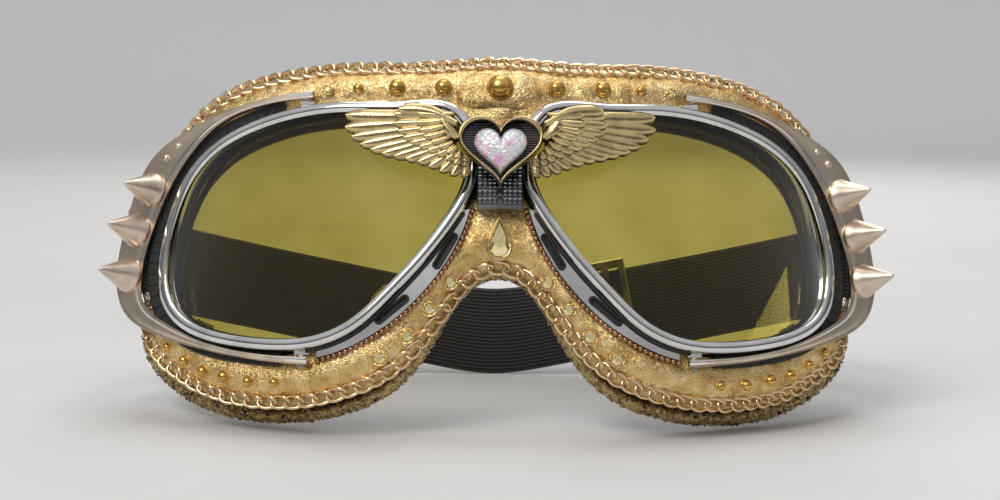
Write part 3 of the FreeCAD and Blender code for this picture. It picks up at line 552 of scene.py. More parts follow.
def antique(name, color, dark, rough):
    """Cast brass whose hollows, stored as the groove attribute, have darkened."""
    f = Finish(name, color, 1.0, rough)
    shade = f.ramp(f.attribute("groove"), (0.0, dark), (0.45, tuple(c * 0.62 for c in color)), (0.9, color))
    f.color(f.mix(1.0, shade, f.ramp(f.noise(0.35, 5.0), (0.3, 0.7), (0.65, 1.0)), "MULTIPLY"))
    fine = f.noise(2.2, 6.0)
    f.rough(fine, (0.3, rough - 0.08), (0.7, rough + 0.08))
    f.bump(fine, 0.12, 0.04)
    return f


def opal():
    """Pearly heart stone with an overlapping scale pattern and pastel play of colour."""
    f = Finish("opal_cabochon", (0.8, 0.66, 0.72), 0.25, 0.16, Coat_Weight=0.6, Coat_Roughness=0.05)
    tint = f.ramp(f.noise(0.22, 2.0, distort=1.4), (0.32, (0.8, 0.42, 0.66)), (0.43, (0.84, 0.68, 0.76)),
                  (0.52, (0.84, 0.8, 0.82)), (0.6, (0.62, 0.8, 0.76)), (0.7, (0.76, 0.6, 0.86)))
    scale = f.ramp(f.attribute("groove"), (0.05, 0.0), (0.45, 1.0))
    f.color(f.mix(scale, (0.36, 0.22, 0.3), tint))
    return f


def crystal():
    """Pale yellow foiled stone."""
    f = Finish("pale_crystal", (0.95, 0.82, 0.38), 0.85, 0.04, IOR=1.6,
               Coat_Weight=1.0, Coat_Roughness=0.02)
    spark = f.texture("Voronoi", 1.1, Randomness=1.0)
    f.color(spark, (0.1, (1.0, 0.95, 0.68)), (0.8, (0.96, 0.76, 0.26)))
    return f


chrome = metal("chrome", (0.8, 0.8, 0.79), 0.09, 0.05)
# painted highlight: the flange chrome is a brighter copy of the rim chrome, for its bright look
cup_chrome = metal("cup_chrome", (0.86, 0.86, 0.85), 0.1, 0.06)
dark_steel = metal("dark_steel", (0.16, 0.15, 0.14), 0.35, 0.08, slot="vent_mesh")
champagne = metal("champagne_metal", (0.78, 0.65, 0.52), 0.34, 0.1, (1, 1, 6), 0.04)
plated = plating_with_wear_and_highlight()
spike_gold = metal("spike_metal", (0.82, 0.69, 0.57), 0.36, 0.12, (6, 1, 1), 0.1, "champagne_metal")
steel = metal("pin_steel", (0.58, 0.57, 0.56), 0.28, 0.08)
silver = metal("knurled_silver", (0.2, 0.2, 0.21), 0.22, 0.08, grime=0.35)
link_gold = metal("chain_gold", (0.9, 0.67, 0.4), 0.17, 0.07)
copper = metal("bead_copper", (0.48, 0.28, 0.16), 0.22, 0.08, grime=0.25)
gold = metal("setting_gold", (0.78, 0.58, 0.28), 0.2, 0.06)
pearl = satin_pearl()
brass = antique("antique_brass", (0.7, 0.55, 0.28), (0.04, 0.026, 0.01), 0.24)
shadow = antique("heart_shadow", (0.24, 0.23, 0.23), (0.008, 0.007, 0.008), 0.36)
leather = gold_leather()
glass = tinted_glass()
opal_stone = opal()
stone = crystal()
yarn = lurex()
ribbed = webbing()
fleece = fabric("lining_fleece", (0.045, 0.042, 0.04), 2.2, 0.2, 0.6)
foam = fabric("pad_foam", (0.03, 0.03, 0.03), 1.6, 0.15, 0.1)
rubber = fabric("gasket_rubber", (0.018, 0.018, 0.018), 5.0, 0.02, 0.0)
core_black = metal("black_core", (0.05, 0.05, 0.05), 0.4, 0.05)


# ---- adding pieces
def new_object(name, verts, faces, finish, flat=False, tones=None):
    """A mesh object in metres; tones is the name and the values of a point attribute."""
    mesh = bpy.data.meshes.new(name)
    mesh.from_pydata(verts.tolist(), [], [list(f) for f in faces])
    mesh.polygons.foreach_set("use_smooth", [not flat] * len(mesh.polygons))
    if tones:
        layer = mesh.attributes.new(tones[0], "FLOAT", "POINT")
        layer.data.foreach_set("value", np.asarray(tones[1], np.float32))
    mesh.validate()
    mesh.update()
    mesh.materials.append(finish.mat)
    obj = bpy.data.objects.new(name, mesh)
    bpy.context.scene.collection.objects.link(obj)
    return obj


def add(name, part, finish, *nodes, body="mask", ready=False, **looks):
    """A piece that rides on a body in place of some CAD nodes. part is (verts, faces) in local
    millimetres, or in metres where ready is true."""
    verts, faces = part
    obj = new_object(name, verts if ready else stand(verts), faces, finish, **looks)
    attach(obj, body)
    if nodes:
        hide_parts(*nodes)
    return obj


def add_pair(name, part, finish, node=None, body="mask", **looks):
    """The left piece and its mirror image; outriggers have a body for each side."""
    for side, shape in (("left", part), ("right", mirrored(*part))):
        nodes = [f"{node}_{side}"] if node else []
        carrier = f"outrigger_{side}" if body == "outrigger" else body
        add(f"{name}_{side}", shape, finish, *nodes, body=carrier, **looks)


def off_floor(placed):
    """Soft pieces are pressed flat where they would pass through the floor."""
    placed[:, 2] = np.maximum(placed[:, 2], 0.0)
    return placed


def thicken(sheet, thick):
    """Gives a sheet its thickness in mm, half on each side."""
    wall = sheet.modifiers.new("thickness", "SOLIDIFY")
    wall.thickness = thick * MM
    wall.offset = 0


def dress(node, finish, bevel=0.0):
    """A CAD node kept as it is, with its material and an optional fine bevel."""
    obj = frame["nodes"][node]
    obj.data.materials.clear()
    obj.data.materials.append(finish.mat)
    if bevel:
        rounder = obj.modifiers.new("edges", "BEVEL")
        rounder.width = bevel * MM
        rounder.segments = 3
        rounder.limit_method = "ANGLE"
        rounder.angle_limit = radians(40)
        rounder.harden_normals = True


lens_line = smooth(LENS, 260)
lens_out = outward(lens_line)
seam_line = smooth(SEAM + [(-x, z) for x, z in SEAM[-2:0:-1]], 620)
seam_out = outward(seam_line)


def nose_share(points):
    """1 on the arch over the nose, falling to 0 on the lobes and elsewhere."""
    share = np.clip((points[:, 1] + 38) / 20, 0, 1) * (np.abs(points[:, 0]) < 34)
    return np.where(points[:, 1] < 0, share, 0.0)


# ---- rims, lenses, gaskets
def build_rims():
    profile = [(0.0, 2.0), (0.0, 0.95), (0.12, 0.55), (0.45, 0.18), (0.95, 0.0), (1.5, 0.02),
               (2.0, 0.16), (2.42, 0.46), (2.68, 0.85), (RIM_WIDTH, 1.3), (RIM_WIDTH, 2.0)]
    add_pair("rim", sweep(lens_line, profile), chrome, "rim")


def build_lenses():
    edge = grown(lens_line, LENS_LAP)
    shares = np.linspace(0.02, 1.0, 34)
    rows = [on_wrap(shrunk(edge, LENS_MIDDLE, s), LENS_FRONT) for s in shares]
    rows += [on_wrap(shrunk(edge, LENS_MIDDLE, s), LENS_FRONT + LENS_THICK) for s in shares[::-1]]
    add_pair("lens", capped(rows), glass, "lens")


def build_gaskets():
    profile = rounded(-0.8, LENS_LAP, 3.8, PAD_FRONT, 0.45)
    add_pair("gasket", sweep(lens_line, profile), rubber, "gasket")


# ---- pad, lining and trim
def pad_relief(points, outer, holes, edge_offset, crest, roll, puff):
    """Offsets of a stuffed face: falls to edge_offset at its outline and swells in the middle."""
    out = distance(points, outer)
    eye = np.min([distance(points, hole) for hole in holes], axis=0)
    t = np.clip(out / roll, 0, 1)
    rim = np.sqrt(np.clip(1 - (1 - t) ** 2, 0, 1))
    swell = np.sin(np.clip(out / (out + eye + 1e-6), 0, 1) * pi)
    return edge_offset + (crest - edge_offset) * rim + puff * swell * t


def eye_holes(growth):
    hole = grown(lens_line, growth)
    return [hole, hole * np.array([-1, 1])]


def skin_edges():
    """Outline of the leather front and its two eye holes."""
    return seam_line + seam_out * (-0.5 + 0.8 * nose_share(seam_line))[:, None], eye_holes(3.1)


def skin_front(points):
    """How far behind the wrap surface the middle of the stuffed leather lies at each (x, z)."""
    return pad_relief(np.array(points, float), *skin_edges(), PAD_EDGE, PAD_FRONT, 6.5, -0.9)


def on_skin(x, z):
    """Seat height on the front of the leather."""
    return skin_front([(x, z)])[0] - SKIN_HALF


def build_skin():
    """The gold leather front: one stuffed skin round both eyecups, with pockets for the lugs."""
    outer, holes = skin_edges()
    points, faces = filled(outer, holes, SKIN_MESH)
    crease = lumps(points, 0.25, 3) * 0.34 + lumps(points, 0.8, 5) * 0.12
    offset = skin_front(points) + crease * np.clip(distance(points, outer) / 3.0, 0, 1)
    x, z = points.T
    pocket = (np.abs(x) > POCKET_IN) & (z > POCKET_LOW) & (z < POCKET_HIGH)
    offset = np.where(pocket, np.maximum(offset, BAR_DEPTH + 4.2 - depth(x)), offset)
    edge = [int(np.square(points - p).sum(axis=1).argmin()) for p in outer]
    faces += hoop(edge, range(len(points), len(points) + len(edge)))
    verts = np.vstack([on_wrap(points, offset), on_wrap(outer, PAD_BACK)])
    skin = add("gold_skin", (verts, faces), leather, "face_skin")
    thicken(skin, 2 * SKIN_HALF)


def build_brow():
    """The raised leather bump in the middle of the brow, sloping down into the skin."""
    line = smooth(BROW, 120)
    rows = []
    for share in (1.12, 1.06, 1.0, 0.94, 0.87, 0.78, 0.67, 0.55, 0.42, 0.28, 0.14, 0.03):
        lift = 2.35 * sqrt(1 - min(1.0, share) ** 2.4) - 4.0 * max(0.0, share - 1)
        rows.append(on_wrap(shrunk(line, BROW_MIDDLE, share), PAD_FRONT - 0.1 - lift))
    verts, faces = capped(rows, first=False)
    verts[:, 1] += lumps(verts, 0.6, 9) * 0.16 + lumps(verts, 1.5, 10) * 0.06
    add("brow_bump", (verts, faces), leather, "brow_pad")


def build_lining():
    """The fleece against the face, crowned between its outline and the eye holes."""
    outer, holes = grown(seam_line, -1.5), eye_holes(1.8)
    points, faces = filled(outer, holes, LINING_MESH)
    crown = pad_relief(points, outer, holes, PAD_BACK + 0.5, LINING_BACK, 5.0, 1.2)
    verts = on_wrap(points, crown + lumps(points, 0.5, 13) * 0.15)
    cloth = add("face_fleece", (verts, [f[::-1] for f in faces]), fleece, "face_lining")
    thicken(cloth, 1.2)


def knobs(points):
    """A knobbly yarn surface."""
    rough = rng.normal(size=points.shape) * 0.16
    return rough + np.column_stack([lumps(points, 1.6, s) for s in (21, 22, 23)]) * 0.16


def build_trim():
    """Looped lurex yarn round the pad's back edge: a knobbly cord covered in small loops."""
    line = smooth(seam_line, 1000)
    thin = nose_share(line)
    side = outward(line)
    line = line + side * (0.9 - 0.9 * thin)[:, None]
    thick = TRIM_R - 0.6 * thin
    rows = [on_wrap(line + side * (thick * cos(t))[:, None], PAD_BACK + 2.1 * sin(t))
            for t in turns(14)]
    verts, faces = strip(rows)
    parts = [(verts + knobs(verts), faces)]
    tones = [rng.choice([0.3, 0.5, 0.6, 0.7], len(verts))]
    ring = np.linspace(0, 2 * pi, 9, endpoint=False)
    loop_tones = [0.05, 0.3, 0.5, 0.6, 0.65, 0.7, 0.75, 0.8, 0.97]
    for _ in range(TRIM_LOOPS):
        k = int(rng.integers(len(line)))
        turn = rng.uniform(-pi * 0.62, pi * 0.62)
        out = np.array([side[k, 0] * cos(turn), 1.2 * sin(turn), side[k, 1] * cos(turn)])
        base = on_wrap(line[k:k + 1], PAD_BACK)[0] + out * thick[k] * rng.uniform(0.85, 1.06)
        a = unit(rng.normal(size=3))
        b = unit(np.cross(a, rng.normal(size=3))) * rng.uniform(0.5, 1.0)
        loop = base + rng.uniform(0.28, 0.55) * (np.outer(np.cos(ring), a) + np.outer(np.sin(ring), b))
        parts.append(tube(loop, rng.uniform(0.1, 0.16), 4))
        tones.append(np.full(len(parts[-1][0]), rng.choice(loop_tones)))
    verts, faces = joined(parts)
    trim = add("lurex_trim", (off_floor(stand(verts)), faces), yarn, "edge_trim", ready=True,
               tones=("tone", np.concatenate(tones)))


# ---- chains
def curb_link():
    """One link of curb chain: an oval wire twisted about its length."""
    t = turns(32)
    x = 2.5 * np.sign(np.cos(t)) * np.abs(np.cos(t)) ** 0.85
    y = 1.55 * np.sign(np.sin(t)) * np.abs(np.sin(t)) ** 0.8
    twist = radians(32) * x / 2.5
    return tube(np.column_stack([x, y * np.cos(twist), y * np.sin(twist)]), 0.42, 10)


def build_edge_chain():
    """Curb chain laid on the rounded edge of the pad."""
    low, high = nose_share(seam_line), np.clip((seam_line[:, 1] - 20) / 15, 0, 1)
    flat = seam_line + seam_out * (-0.9 + 1.5 * low - 0.8 * high)[:, None]
    line = smooth(on_wrap(flat, 7.2 + 1.2 * low - 0.8 * high), 4 * CHAIN_LINKS)
    places = []
    for k in range(0, len(line), 4):
        way = unit(line[(k + 1) % len(line)] - line[k - 1])
        near = int(np.square(seam_line - line[k][[0, 2]]).sum(axis=1).argmin())
        out = np.array([seam_out[near, 0], 0, seam_out[near, 1]])
        lie = unit(out * 0.45 + np.array([0, -1, 0]) + rng.normal(size=3) * 0.06)
        across = unit(np.cross(lie, way))
        places.append((line[k] + rng.normal(size=3) * 0.06, way, across, np.cross(way, across)))
    add("curb_chain", stamped(curb_link(), places), link_gold, "edge_chain")


def build_bead_chains():
    line = smooth(BEADS, 39, closed=False)
    spots = on_wrap(line, skin_front(line) - SKIN_HALF - 0.75)
    slopes = np.linspace(0.15, pi - 0.15, 9)
    ball = lathe([(BEAD_R * sin(a), -BEAD_R * cos(a)) for a in slopes], 14)
    balls = stamped(ball, [(p, *np.eye(3)) for p in spots])
    add_pair("ball_chain", joined([balls, tube(spots, 0.22, 6, closed=False)]), copper, "bead_chain")


# ---- brackets and spikes
def build_brackets():
    """Satin side brackets; the tips are worn bright, and the bevelled inner edge is brightened partly as
    wear and partly as a painted highlight.
    The CAD node stays below as the plate's back and knuckles."""
    outer = smooth(BRACKET_OUTER, 180, closed=False)
    inner = smooth(BRACKET_INNER, 180, closed=False)
    along = np.linspace(0, 1, 180)
    tip = np.clip(1 - np.minimum(along, 1 - along) / 0.09, 0, 1)
    # share of the way from the outer edge to the inner one, offset from the front, and wear, which on the
    # inner bevel is also a painted highlight
    section = [(0.0, 1.8, 0.3), (0.0, 0.7, 0.5), (0.08, 0.22, 0.5), (0.2, -0.02, 0.0), (0.5, -0.16, 0.0),
               (0.7, -0.22, 0.1), (0.75, -0.17, 1.0), (0.97, 0.3, 1.0), (1.0, 0.6, 0.9),
               (1.0, 1.95, 0.4), (0.5, 1.95, 0.0)]
    rows = [on_wrap(outer + (inner - outer) * share, BRACKET_FRONT + o) for share, o, _ in section]
    wear_and_highlight = np.concatenate([np.maximum(tip, w) for _, _, w in section])
    add_pair("bracket_plate", bar(rows), plated, body="outrigger", tones=("wear_and_highlight", wear_and_highlight))


def build_spikes():
    """Turned cones, a little waisted, and small studs above them."""
    profile = [(4.1, 0.1), (4.45, 0.25), (4.5, 0.6), (4.25, 1.1), (3.3, 3.2), (2.2, 5.8), (1.2, 8.2),
               (0.62, 9.5), (0.36, 9.9), (0.1, 10.05)]
    cone = lathe(smooth(profile, 34, closed=False), 48)
    cones = stamped(cone, [seat(x, z, BRACKET_FRONT) for x, z in SPIKES])
    add_pair("spikes", cones, spike_gold, "spikes", "outrigger")
    studs = joined([stamped(half_ball(r, r), [seat(x, z, BRACKET_FRONT)]) for x, z, r in BRACKET_STUDS])
    add_pair("bracket_studs", studs, spike_gold, "outrigger_studs", "outrigger")


# ---- studs and stones
def half_ball(radius, tall):
    """Half pearl with a small flange."""
    profile = [(radius * 1.02, -0.1), (radius * 1.06, 0.05), (radius * 1.02, 0.2)]
    profile += [(radius * 0.97 * cos(a), 0.2 + (tall - 0.2) * sin(a))
                for a in np.linspace(0, pi / 2 - 0.08, 12)]
    return lathe(profile, 36)


def build_pearls():
    brow = [stamped(half_ball(3.1, 2.7), [seat(*MIDDLE_PEARL, PAD_FRONT - 2.4)])]
    for x, z, r in BROW_PEARLS:
        places = [seat(side * x, z, on_skin(x, z) - 0.25) for side in (1, -1)]
        brow.append(stamped(half_ball(r, r * 0.9), places))
    add("brow_half_pearls", joined(brow), pearl, "brow_pearls")
    lower = [stamped(half_ball(r, r), [seat(x, z, on_skin(x, z) - 0.2)]) for x, z, r in LOWER_PEARLS]
    add_pair("half_pearls", joined(lower), pearl, "pearl_studs")


def cut_stone(radius, tall):
    """Round stone with a table, star and kite facets."""
    rows = []
    for share, height, turn in ((1.0, -0.3, 0), (1.0, 0.15, 0), (0.8, 0.55, 11.25), (0.52, 1.0, 0)):
        t = np.radians(np.arange(0, 360, 22.5) + turn)
        rows.append(np.column_stack([radius * share * np.cos(t), radius * share * np.sin(t),
                                     np.full(16, height * tall)]))
    return faceted(rows)


def claw_cup(radius):
    """Cup with a ring wall and eight claws."""
    wall = lathe([(radius + 0.05, -0.25), (radius + 0.32, -0.25), (radius + 0.34, 0.25),
                  (radius + 0.12, 0.38), (radius + 0.02, 0.2)], 32)
    claw = lathe([(0.14, 0), (0.19, 0.25), (0.17, 0.6), (0.08, 0.75)], 8)
    spots = [((radius + 0.05) * cos(t), (radius + 0.05) * sin(t), 0.0)
             for t in np.radians(np.arange(22, 382, 45))]
    return joined([wall, stamped(claw, [(spot, *np.eye(3)) for spot in spots])])


def build_stones():
    stones, cups = [], []
    for spots, radius in ((NOSE_CRYSTALS, CRYSTAL_R), (BROW_CRYSTALS, TINY_R)):
        for x, z in spots:
            for side in (1, -1):
                place = seat(side * x, z, on_skin(x, z) - 0.95, rng.uniform(0, 1))
                stones.append(stamped(cut_stone(radius, radius * 0.75), [place]))
                cups.append(stamped(claw_cup(radius), [place]))
    add("round_stones", joined(stones), stone, "round_crystals", flat=True)
    add("stone_cups", joined(cups), gold, "crystal_settings")


def tear_rows(base, count, levels):
    """Pear-shaped outlines at (share of full size, height over the base)."""
    t = turns(count)
    x = np.sin(t) * np.sin(t / 2) ** 1.5 * TEAR_WIDE * 0.5 / 0.82
    z = np.cos(t) * TEAR_TALL / 2
    return [on_wrap(np.column_stack([x * s, TEAR_MID + z * s]), base - h) for s, h in levels]


def build_teardrop():
    base = on_skin(0.0, TEAR_MID) - 0.6
    cut = tear_rows(base, 18, ((1.0, -0.2), (1.0, 0.5), (0.82, 1.2), (0.6, 1.7)))
    add("tear_stone", faceted(cut), stone, "teardrop_crystal", flat=True)
    lip = tear_rows(base, 72, ((0.98, -0.5), (1.16, -0.5), (1.2, 0.1), (1.14, 0.62), (1.04, 0.66),
                               (0.99, 0.3)))
    add("tear_setting", strip(lip), gold, "teardrop_setting")


# ---- bridge and badge
def frame_box(half, o0, o1, z0, z1):
    """A plain curved block between two offsets and two heights."""
    section = np.array([(o0, z0), (o1, z0), (o1, z1), (o0, z1)])
    return capped([np.column_stack([np.full(4, x), depth(x) + section[:, 0], section[:, 1]])
                   for x in np.linspace(-half, half, 12)])


def build_band():
    """Knurled band: rows of small four-sided pyramids on a curved plate."""
    lens_side = grown(lens_line, RIM_WIDTH + 0.1)
    parts = [frame_box(5.3, -0.4, 1.5, BAND_LOW + 0.1, BAND_HIGH),
             frame_box(5.0, -0.75, -0.3, BAND_LOW + 0.15, BAND_LOW + 1.1)]
    pitch_x, pitch_z = 1.2, 1.9
    corners = np.array([(-1, -1), (1, -1), (1, 1), (-1, 1)]) * (pitch_x * 0.46, pitch_z * 0.44)
    for z in np.arange(BAND_LOW + 2.1, BAND_HIGH - 0.4, pitch_z):
        for x in np.arange(-4.8, 4.81, pitch_x):
            if not inside(np.array([[-abs(x), z]]), lens_side)[0]:
                parts.append(capped([on_wrap(corners * share + (x, z), o) for share, o in
                                     ((1.0, -0.35), (0.82, -0.75), (0.4, -0.98))], first=False))
    add("knurled_band", joined(parts), silver, "bridge_band", flat=True)


def heart_line(share, count=120):
    t = turns(count)
    x = 16 * np.sin(t) ** 3 / 32 * HEART_WIDE * share
    z = (13 * np.cos(t) - 5 * np.cos(2 * t) - 2 * np.cos(3 * t) - np.cos(4 * t) + 2.6) / 29
    return np.column_stack([x, HEART_MID + z * HEART_TALL * share])


def on_badge(line, lift):
    """An outline at an offset from the badge plane."""
    return np.column_stack([line[:, 0], np.broadcast_to(BADGE_FRONT + lift, len(line)), line[:, 1]])


def feather(root, tip, half, lift, bend):
    """A cast feather: a rounded leaf with a raised quill, faint barbs and dark edges.
    Returns its verts, faces and groove tones."""
    run = np.subtract(tip, root)
    length = np.linalg.norm(run)
    side = np.array([-run[1], run[0]]) / length
    long_steps, wide_steps = max(14, int(length * 2)), 12
    u, v = np.meshgrid(np.linspace(0, 1, long_steps + 1), np.linspace(-1, 1, wide_steps + 1),
                       indexing="ij")
    taper = np.sqrt(np.maximum(0.004, 1 - np.maximum(0.0, (u - 0.78) / 0.22) ** 2.4))
    across = bend * np.sin(pi * u) + v * half * np.minimum(1.0, 0.5 + 1.1 * u) * taper
    x, z = (root[i] + run[i] * u + side[i] * across for i in (0, 1))
    quill = np.exp(-(v / 0.15) ** 2)
    barb = (0.5 + 0.5 * np.sin((u * length + np.abs(v) * half) * 2 * pi / 1.3)) * (1 - quill)
    height = lift + 0.6 * (1 - v * v) + 0.18 * quill * (1 - u) - 0.02 * barb
    edge = np.exp(-((1 - np.abs(v)) / 0.2) ** 2)
    tones = np.clip(1.0 - 0.1 * barb - edge, 0, 1).ravel()
    front, faces = strip(np.dstack([x, depth(x) + BADGE_FRONT - height, z]), False, False)
    back, _ = strip(np.dstack([x, depth(x) + BADGE_FRONT + BADGE_THICK * 0.5, z]), False, False)
    start, count, last = len(front), wide_steps + 1, long_steps * (wide_steps + 1)
    faces += [tuple(i + start for i in reversed(f)) for f in faces]
    rim = list(range(0, last, count)) + list(range(last, last + count))
    rim += list(range(last - 1, count - 2, -count)) + list(range(wide_steps - 1, 0, -1))
    rim.reverse()
    faces += hoop(rim, [i + start for i in rim])
    return np.vstack([front, back]), faces, np.append(tones, np.full(start, 0.1))


def fan(count, share, half, lift):
    """A row of feathers from the wing's root line to its tip line, or part of the way."""
    roots, tips = (smooth(line, count, closed=False) for line in (WING_ROOTS, WING_TIPS))
    return [feather(root, root + (tip - root) * share, half * (1.0 - 0.025 * i),
                    lift + 0.07 * (count - i), 0.3)
            for i, (root, tip) in enumerate(zip(roots, tips))]


def wing():
    """Long feathers, two rows of coverts over their roots, and the smooth arm above them."""
    made = fan(13, 1.0, 1.65, 0.1) + fan(11, 0.55, 1.3, 0.85) + fan(9, 0.34, 1.1, 1.45)
    made.append(feather((-10.4, 23.2), (-24.4, 27.0), 1.6, 2.2, -1.3))
    made.append(feather((-10.0, 19.6), (-14.6, 26.2), 1.5, 2.0, 0.8))
    return joined([(v, f) for v, f, _ in made]), np.concatenate([t for _, _, t in made])


def wing_plate():
    """The thin web behind the feathers."""
    line = smooth(WING_WEB, 90)
    return capped([on_wrap(shrunk(line, (-17.0, 21.0), s), BADGE_FRONT + o) for s, o in
                   ((0.03, 1.5), (0.97, 1.5), (1.0, 1.1), (1.0, 0.3), (0.97, 0.0), (0.03, 0.0))])


def build_badge():
    """The cast wings, their web and the raised frame of the heart; levels are (share of the
    heart's outline, offset, tone)."""
    feathers, tones = wing()
    levels = [(1.0, 1.6, 0.2), (1.0, -1.5, 0.6), (0.99, -2.0, 0.9), (0.97, -2.3, 1.0), (0.945, -2.4, 1.0),
              (0.92, -2.3, 1.0), (0.9, -2.0, 0.9), (HEART_HOLE, -1.5, 0.4), (HEART_HOLE - 0.01, 0.8, 0.0)]
    lines = [on_badge(heart_line(share), lift) for share, lift, _ in levels]
    plate = wing_plate()
    shapes = joined([feathers, mirrored(*feathers), strip(lines, True, False), plate, mirrored(*plate)])
    ring_tones = np.repeat([t for _, _, t in levels], len(lines[0]))
    tone = np.concatenate([tones, tones, ring_tones, np.full(2 * len(plate[0]), 0.15)])
    add("winged_badge", shapes, brass, "badge_casting", tones=("groove", tone))


def fish_scale(line):
    """1 on each scale of an overlapping pattern, falling to 0 at its rounded lower edge."""
    radius, step = SCALE_WIDE * 0.58, SCALE_WIDE * 0.5
    value, free = np.zeros(len(line)), np.ones(len(line), bool)
    top = np.floor((line[:, 1] + radius) / step)
    for k in range(4):
        row = top - k
        x = line[:, 0] / SCALE_WIDE + 0.5 * (row % 2)
        gap = radius - np.hypot((x - np.round(x)) * SCALE_WIDE, line[:, 1] - row * step)
        here = free & (gap > 0)
        value[here] = np.clip(gap[here] / 0.42, 0, 1)
        free &= ~here
    return value


def build_heart():
    """The dark ribbed recess and the pearly heart stone in it."""
    rows, tones = [], []
    for share in np.linspace(0.5, HEART_HOLE - 0.005, 60):
        line = heart_line(share, 360)
        rib = 0.5 + 0.5 * np.sin(line[:, 1] * 2 * pi / RIB_PITCH)
        rows.append(on_badge(line, 0.8 - rib * 0.4))
        tones.append(rib)
    rows.append(on_badge(line, 1.5))
    tones.append(np.zeros(len(line)))
    add("heart_recess", capped(rows), shadow, "heart_backing", tones=("groove", np.concatenate(tones)))
    rows, tones = [], []
    levels = [(CAB_SHARE - 0.02, 0.45), (CAB_SHARE, -0.2)]
    levels += [(CAB_SHARE * cos(a), -0.2 - 2.8 * sin(a)) for a in np.linspace(0.12, 1.52, 40)]
    for share, lift in levels:
        line = heart_line(share, 300)
        line[:, 1] = HEART_MID - 0.2 + (line[:, 1] - HEART_MID) * 1.12
        tones.append(fish_scale(line))
        rows.append(on_badge(line, lift - 0.22 * tones[-1]))
    add("heart_stone", capped(rows), opal_stone, "heart_cabochon", tones=("groove", np.concatenate(tones)))


# ---- skirts and vents
def part_ring(profile, keep):
    """A swept ring round the left lens, open where keep(x, z) is false."""
    kept = [keep(*p) for p in lens_line]
    start = next(i for i in range(len(kept)) if kept[i] and not kept[i - 1])
    run = [i % len(kept) for i in range(start, start + len(kept)) if kept[i % len(kept)]]
    return bar([on_wrap(lens_line[run] + lens_out[run] * g, o) for g, o in profile])


def build_skirts():
    """Black ribbed rubber behind the gap outside each rim, which also stands in for the eyecup's shade in
    that gap, and a black strip that fills the gap on the rim's nose side as painted shade.
    """
    # partly a real ribbed strip and partly painted shade of the eyecup in the gap
    parts = [part_ring(rounded(2.9, 6.0, 3.4, 4.6, 0.3), lambda x, z: x < -52)]
    for point, out in zip(lens_line[::3], lens_out[::3]):
        if point[0] < -54:
            ends = np.array([point + out * g for g in (3.3, 4.5, 5.7)])
            parts.append(tube(on_wrap(ends, 3.3), 0.26, 6, closed=False))
    add_pair("cup_skirt", joined(parts), rubber, "cup_skirt")
    # painted shade: a black strip fills the dark gap between rim and flange on the nose side
    nose_gap_strip = part_ring(rounded(2.85, 3.35, 1.7, 2.95, 0.2), lambda x, z: x > -47 and z < 6)
    add_pair("nose_gap_shade", nose_gap_strip, rubber)


def build_mesh():
    """Black lips round the flange's slots, with dark woven wire over black cloth behind them."""
    wires, lips, cloth = [], [], []
    for start, end in np.array(VENTS):
        middle, half = (start + end) / 2, np.linalg.norm(end - start) / 2
        way = unit(end - start)
        side = np.array([-way[1], way[0]])

        def slot(radius, count):
            t = turns(count)
            x = half * np.sign(np.cos(t)) + radius * np.cos(t)
            return middle + np.outer(x, way) + np.outer(radius * np.sin(t), side)

        wide, long = VENT_R + 0.5, half + VENT_R + 0.5
        for v in np.arange(-wide, wide + 0.01, WIRE_PITCH):
            line = middle + np.outer(np.linspace(-long, long, 24), way) + side * v
            wires.append(tube(on_wrap(line, WIRE_DEPTH), WIRE_R, 5, closed=False))
        for u in np.arange(-long, long + 0.01, WIRE_PITCH):
            line = middle + way * u + np.outer(np.linspace(-wide, wide, 8), side)
            wires.append(tube(on_wrap(line, WIRE_DEPTH - 0.07), WIRE_R, 5, closed=False))
        lips.append(tube(on_wrap(slot(VENT_R, 60), 2.95), 0.3, 8))
        edge = slot(VENT_R + 0.05, 40)
        cloth.append(strip([on_wrap(shrunk(edge, middle, s), WIRE_DEPTH + o)
                            for s, o in ((0.02, 0.12), (1.0, 0.12), (1.0, 0.24), (0.02, 0.24))]))
    add_pair("vent_wire", joined(wires), dark_steel, "vent_mesh")
    add_pair("vent_lips", joined(lips + cloth), rubber)


# ---- strap
def level_sides(path):
    """Level directions square to a path."""
    along = np.gradient(path, axis=0)
    return unit(np.column_stack([along[:, 1], -along[:, 0], np.zeros(len(along))]))


def strap_path():
    """The middle of the strap's lower edge in the standing pose, from its sewn left end, round
    the left bar, along the back, round the right bar and back through the adjuster."""
    low = STRAP_MID - STRAP_WIDE / 2
    bend = BAR_R + 0.3 + STRAP_THICK / 2
    start = stood([(-BAR_X - bend - STRAP_THICK / 2 + 0.15, BAR_DEPTH, low)])[0]
    back = [(-x, STRAP_BACK, STRAP_RISE * (x - STRAP_LEVEL))
            for x in np.arange(STRAP_STRAIGHT, STRAP_LEVEL + 2, -10)]
    half = np.vstack([start, STRAP, back])
    route = np.vstack([half, (0, STRAP_BACK, 0), half[::-1] * (-1, 1, 1)])
    dense = smooth(route, 360, closed=False)
    side = level_sides(dense)
    main = dense + side * STRAP_THICK / 2
    under = dense + side * (STRAP_THICK * 1.5 + 0.25)
    t = np.radians(np.linspace(172, 8, 15))
    left, right = (stood(np.column_stack([end * (BAR_X - bend * np.cos(t)), BAR_DEPTH - bend * np.sin(t),
                                          np.full(15, low)])) for end in (-1, 1))
    return np.vstack([under[34:8:-2], left[::-1], main[3:-3], right, under[-9:-122:-2]])


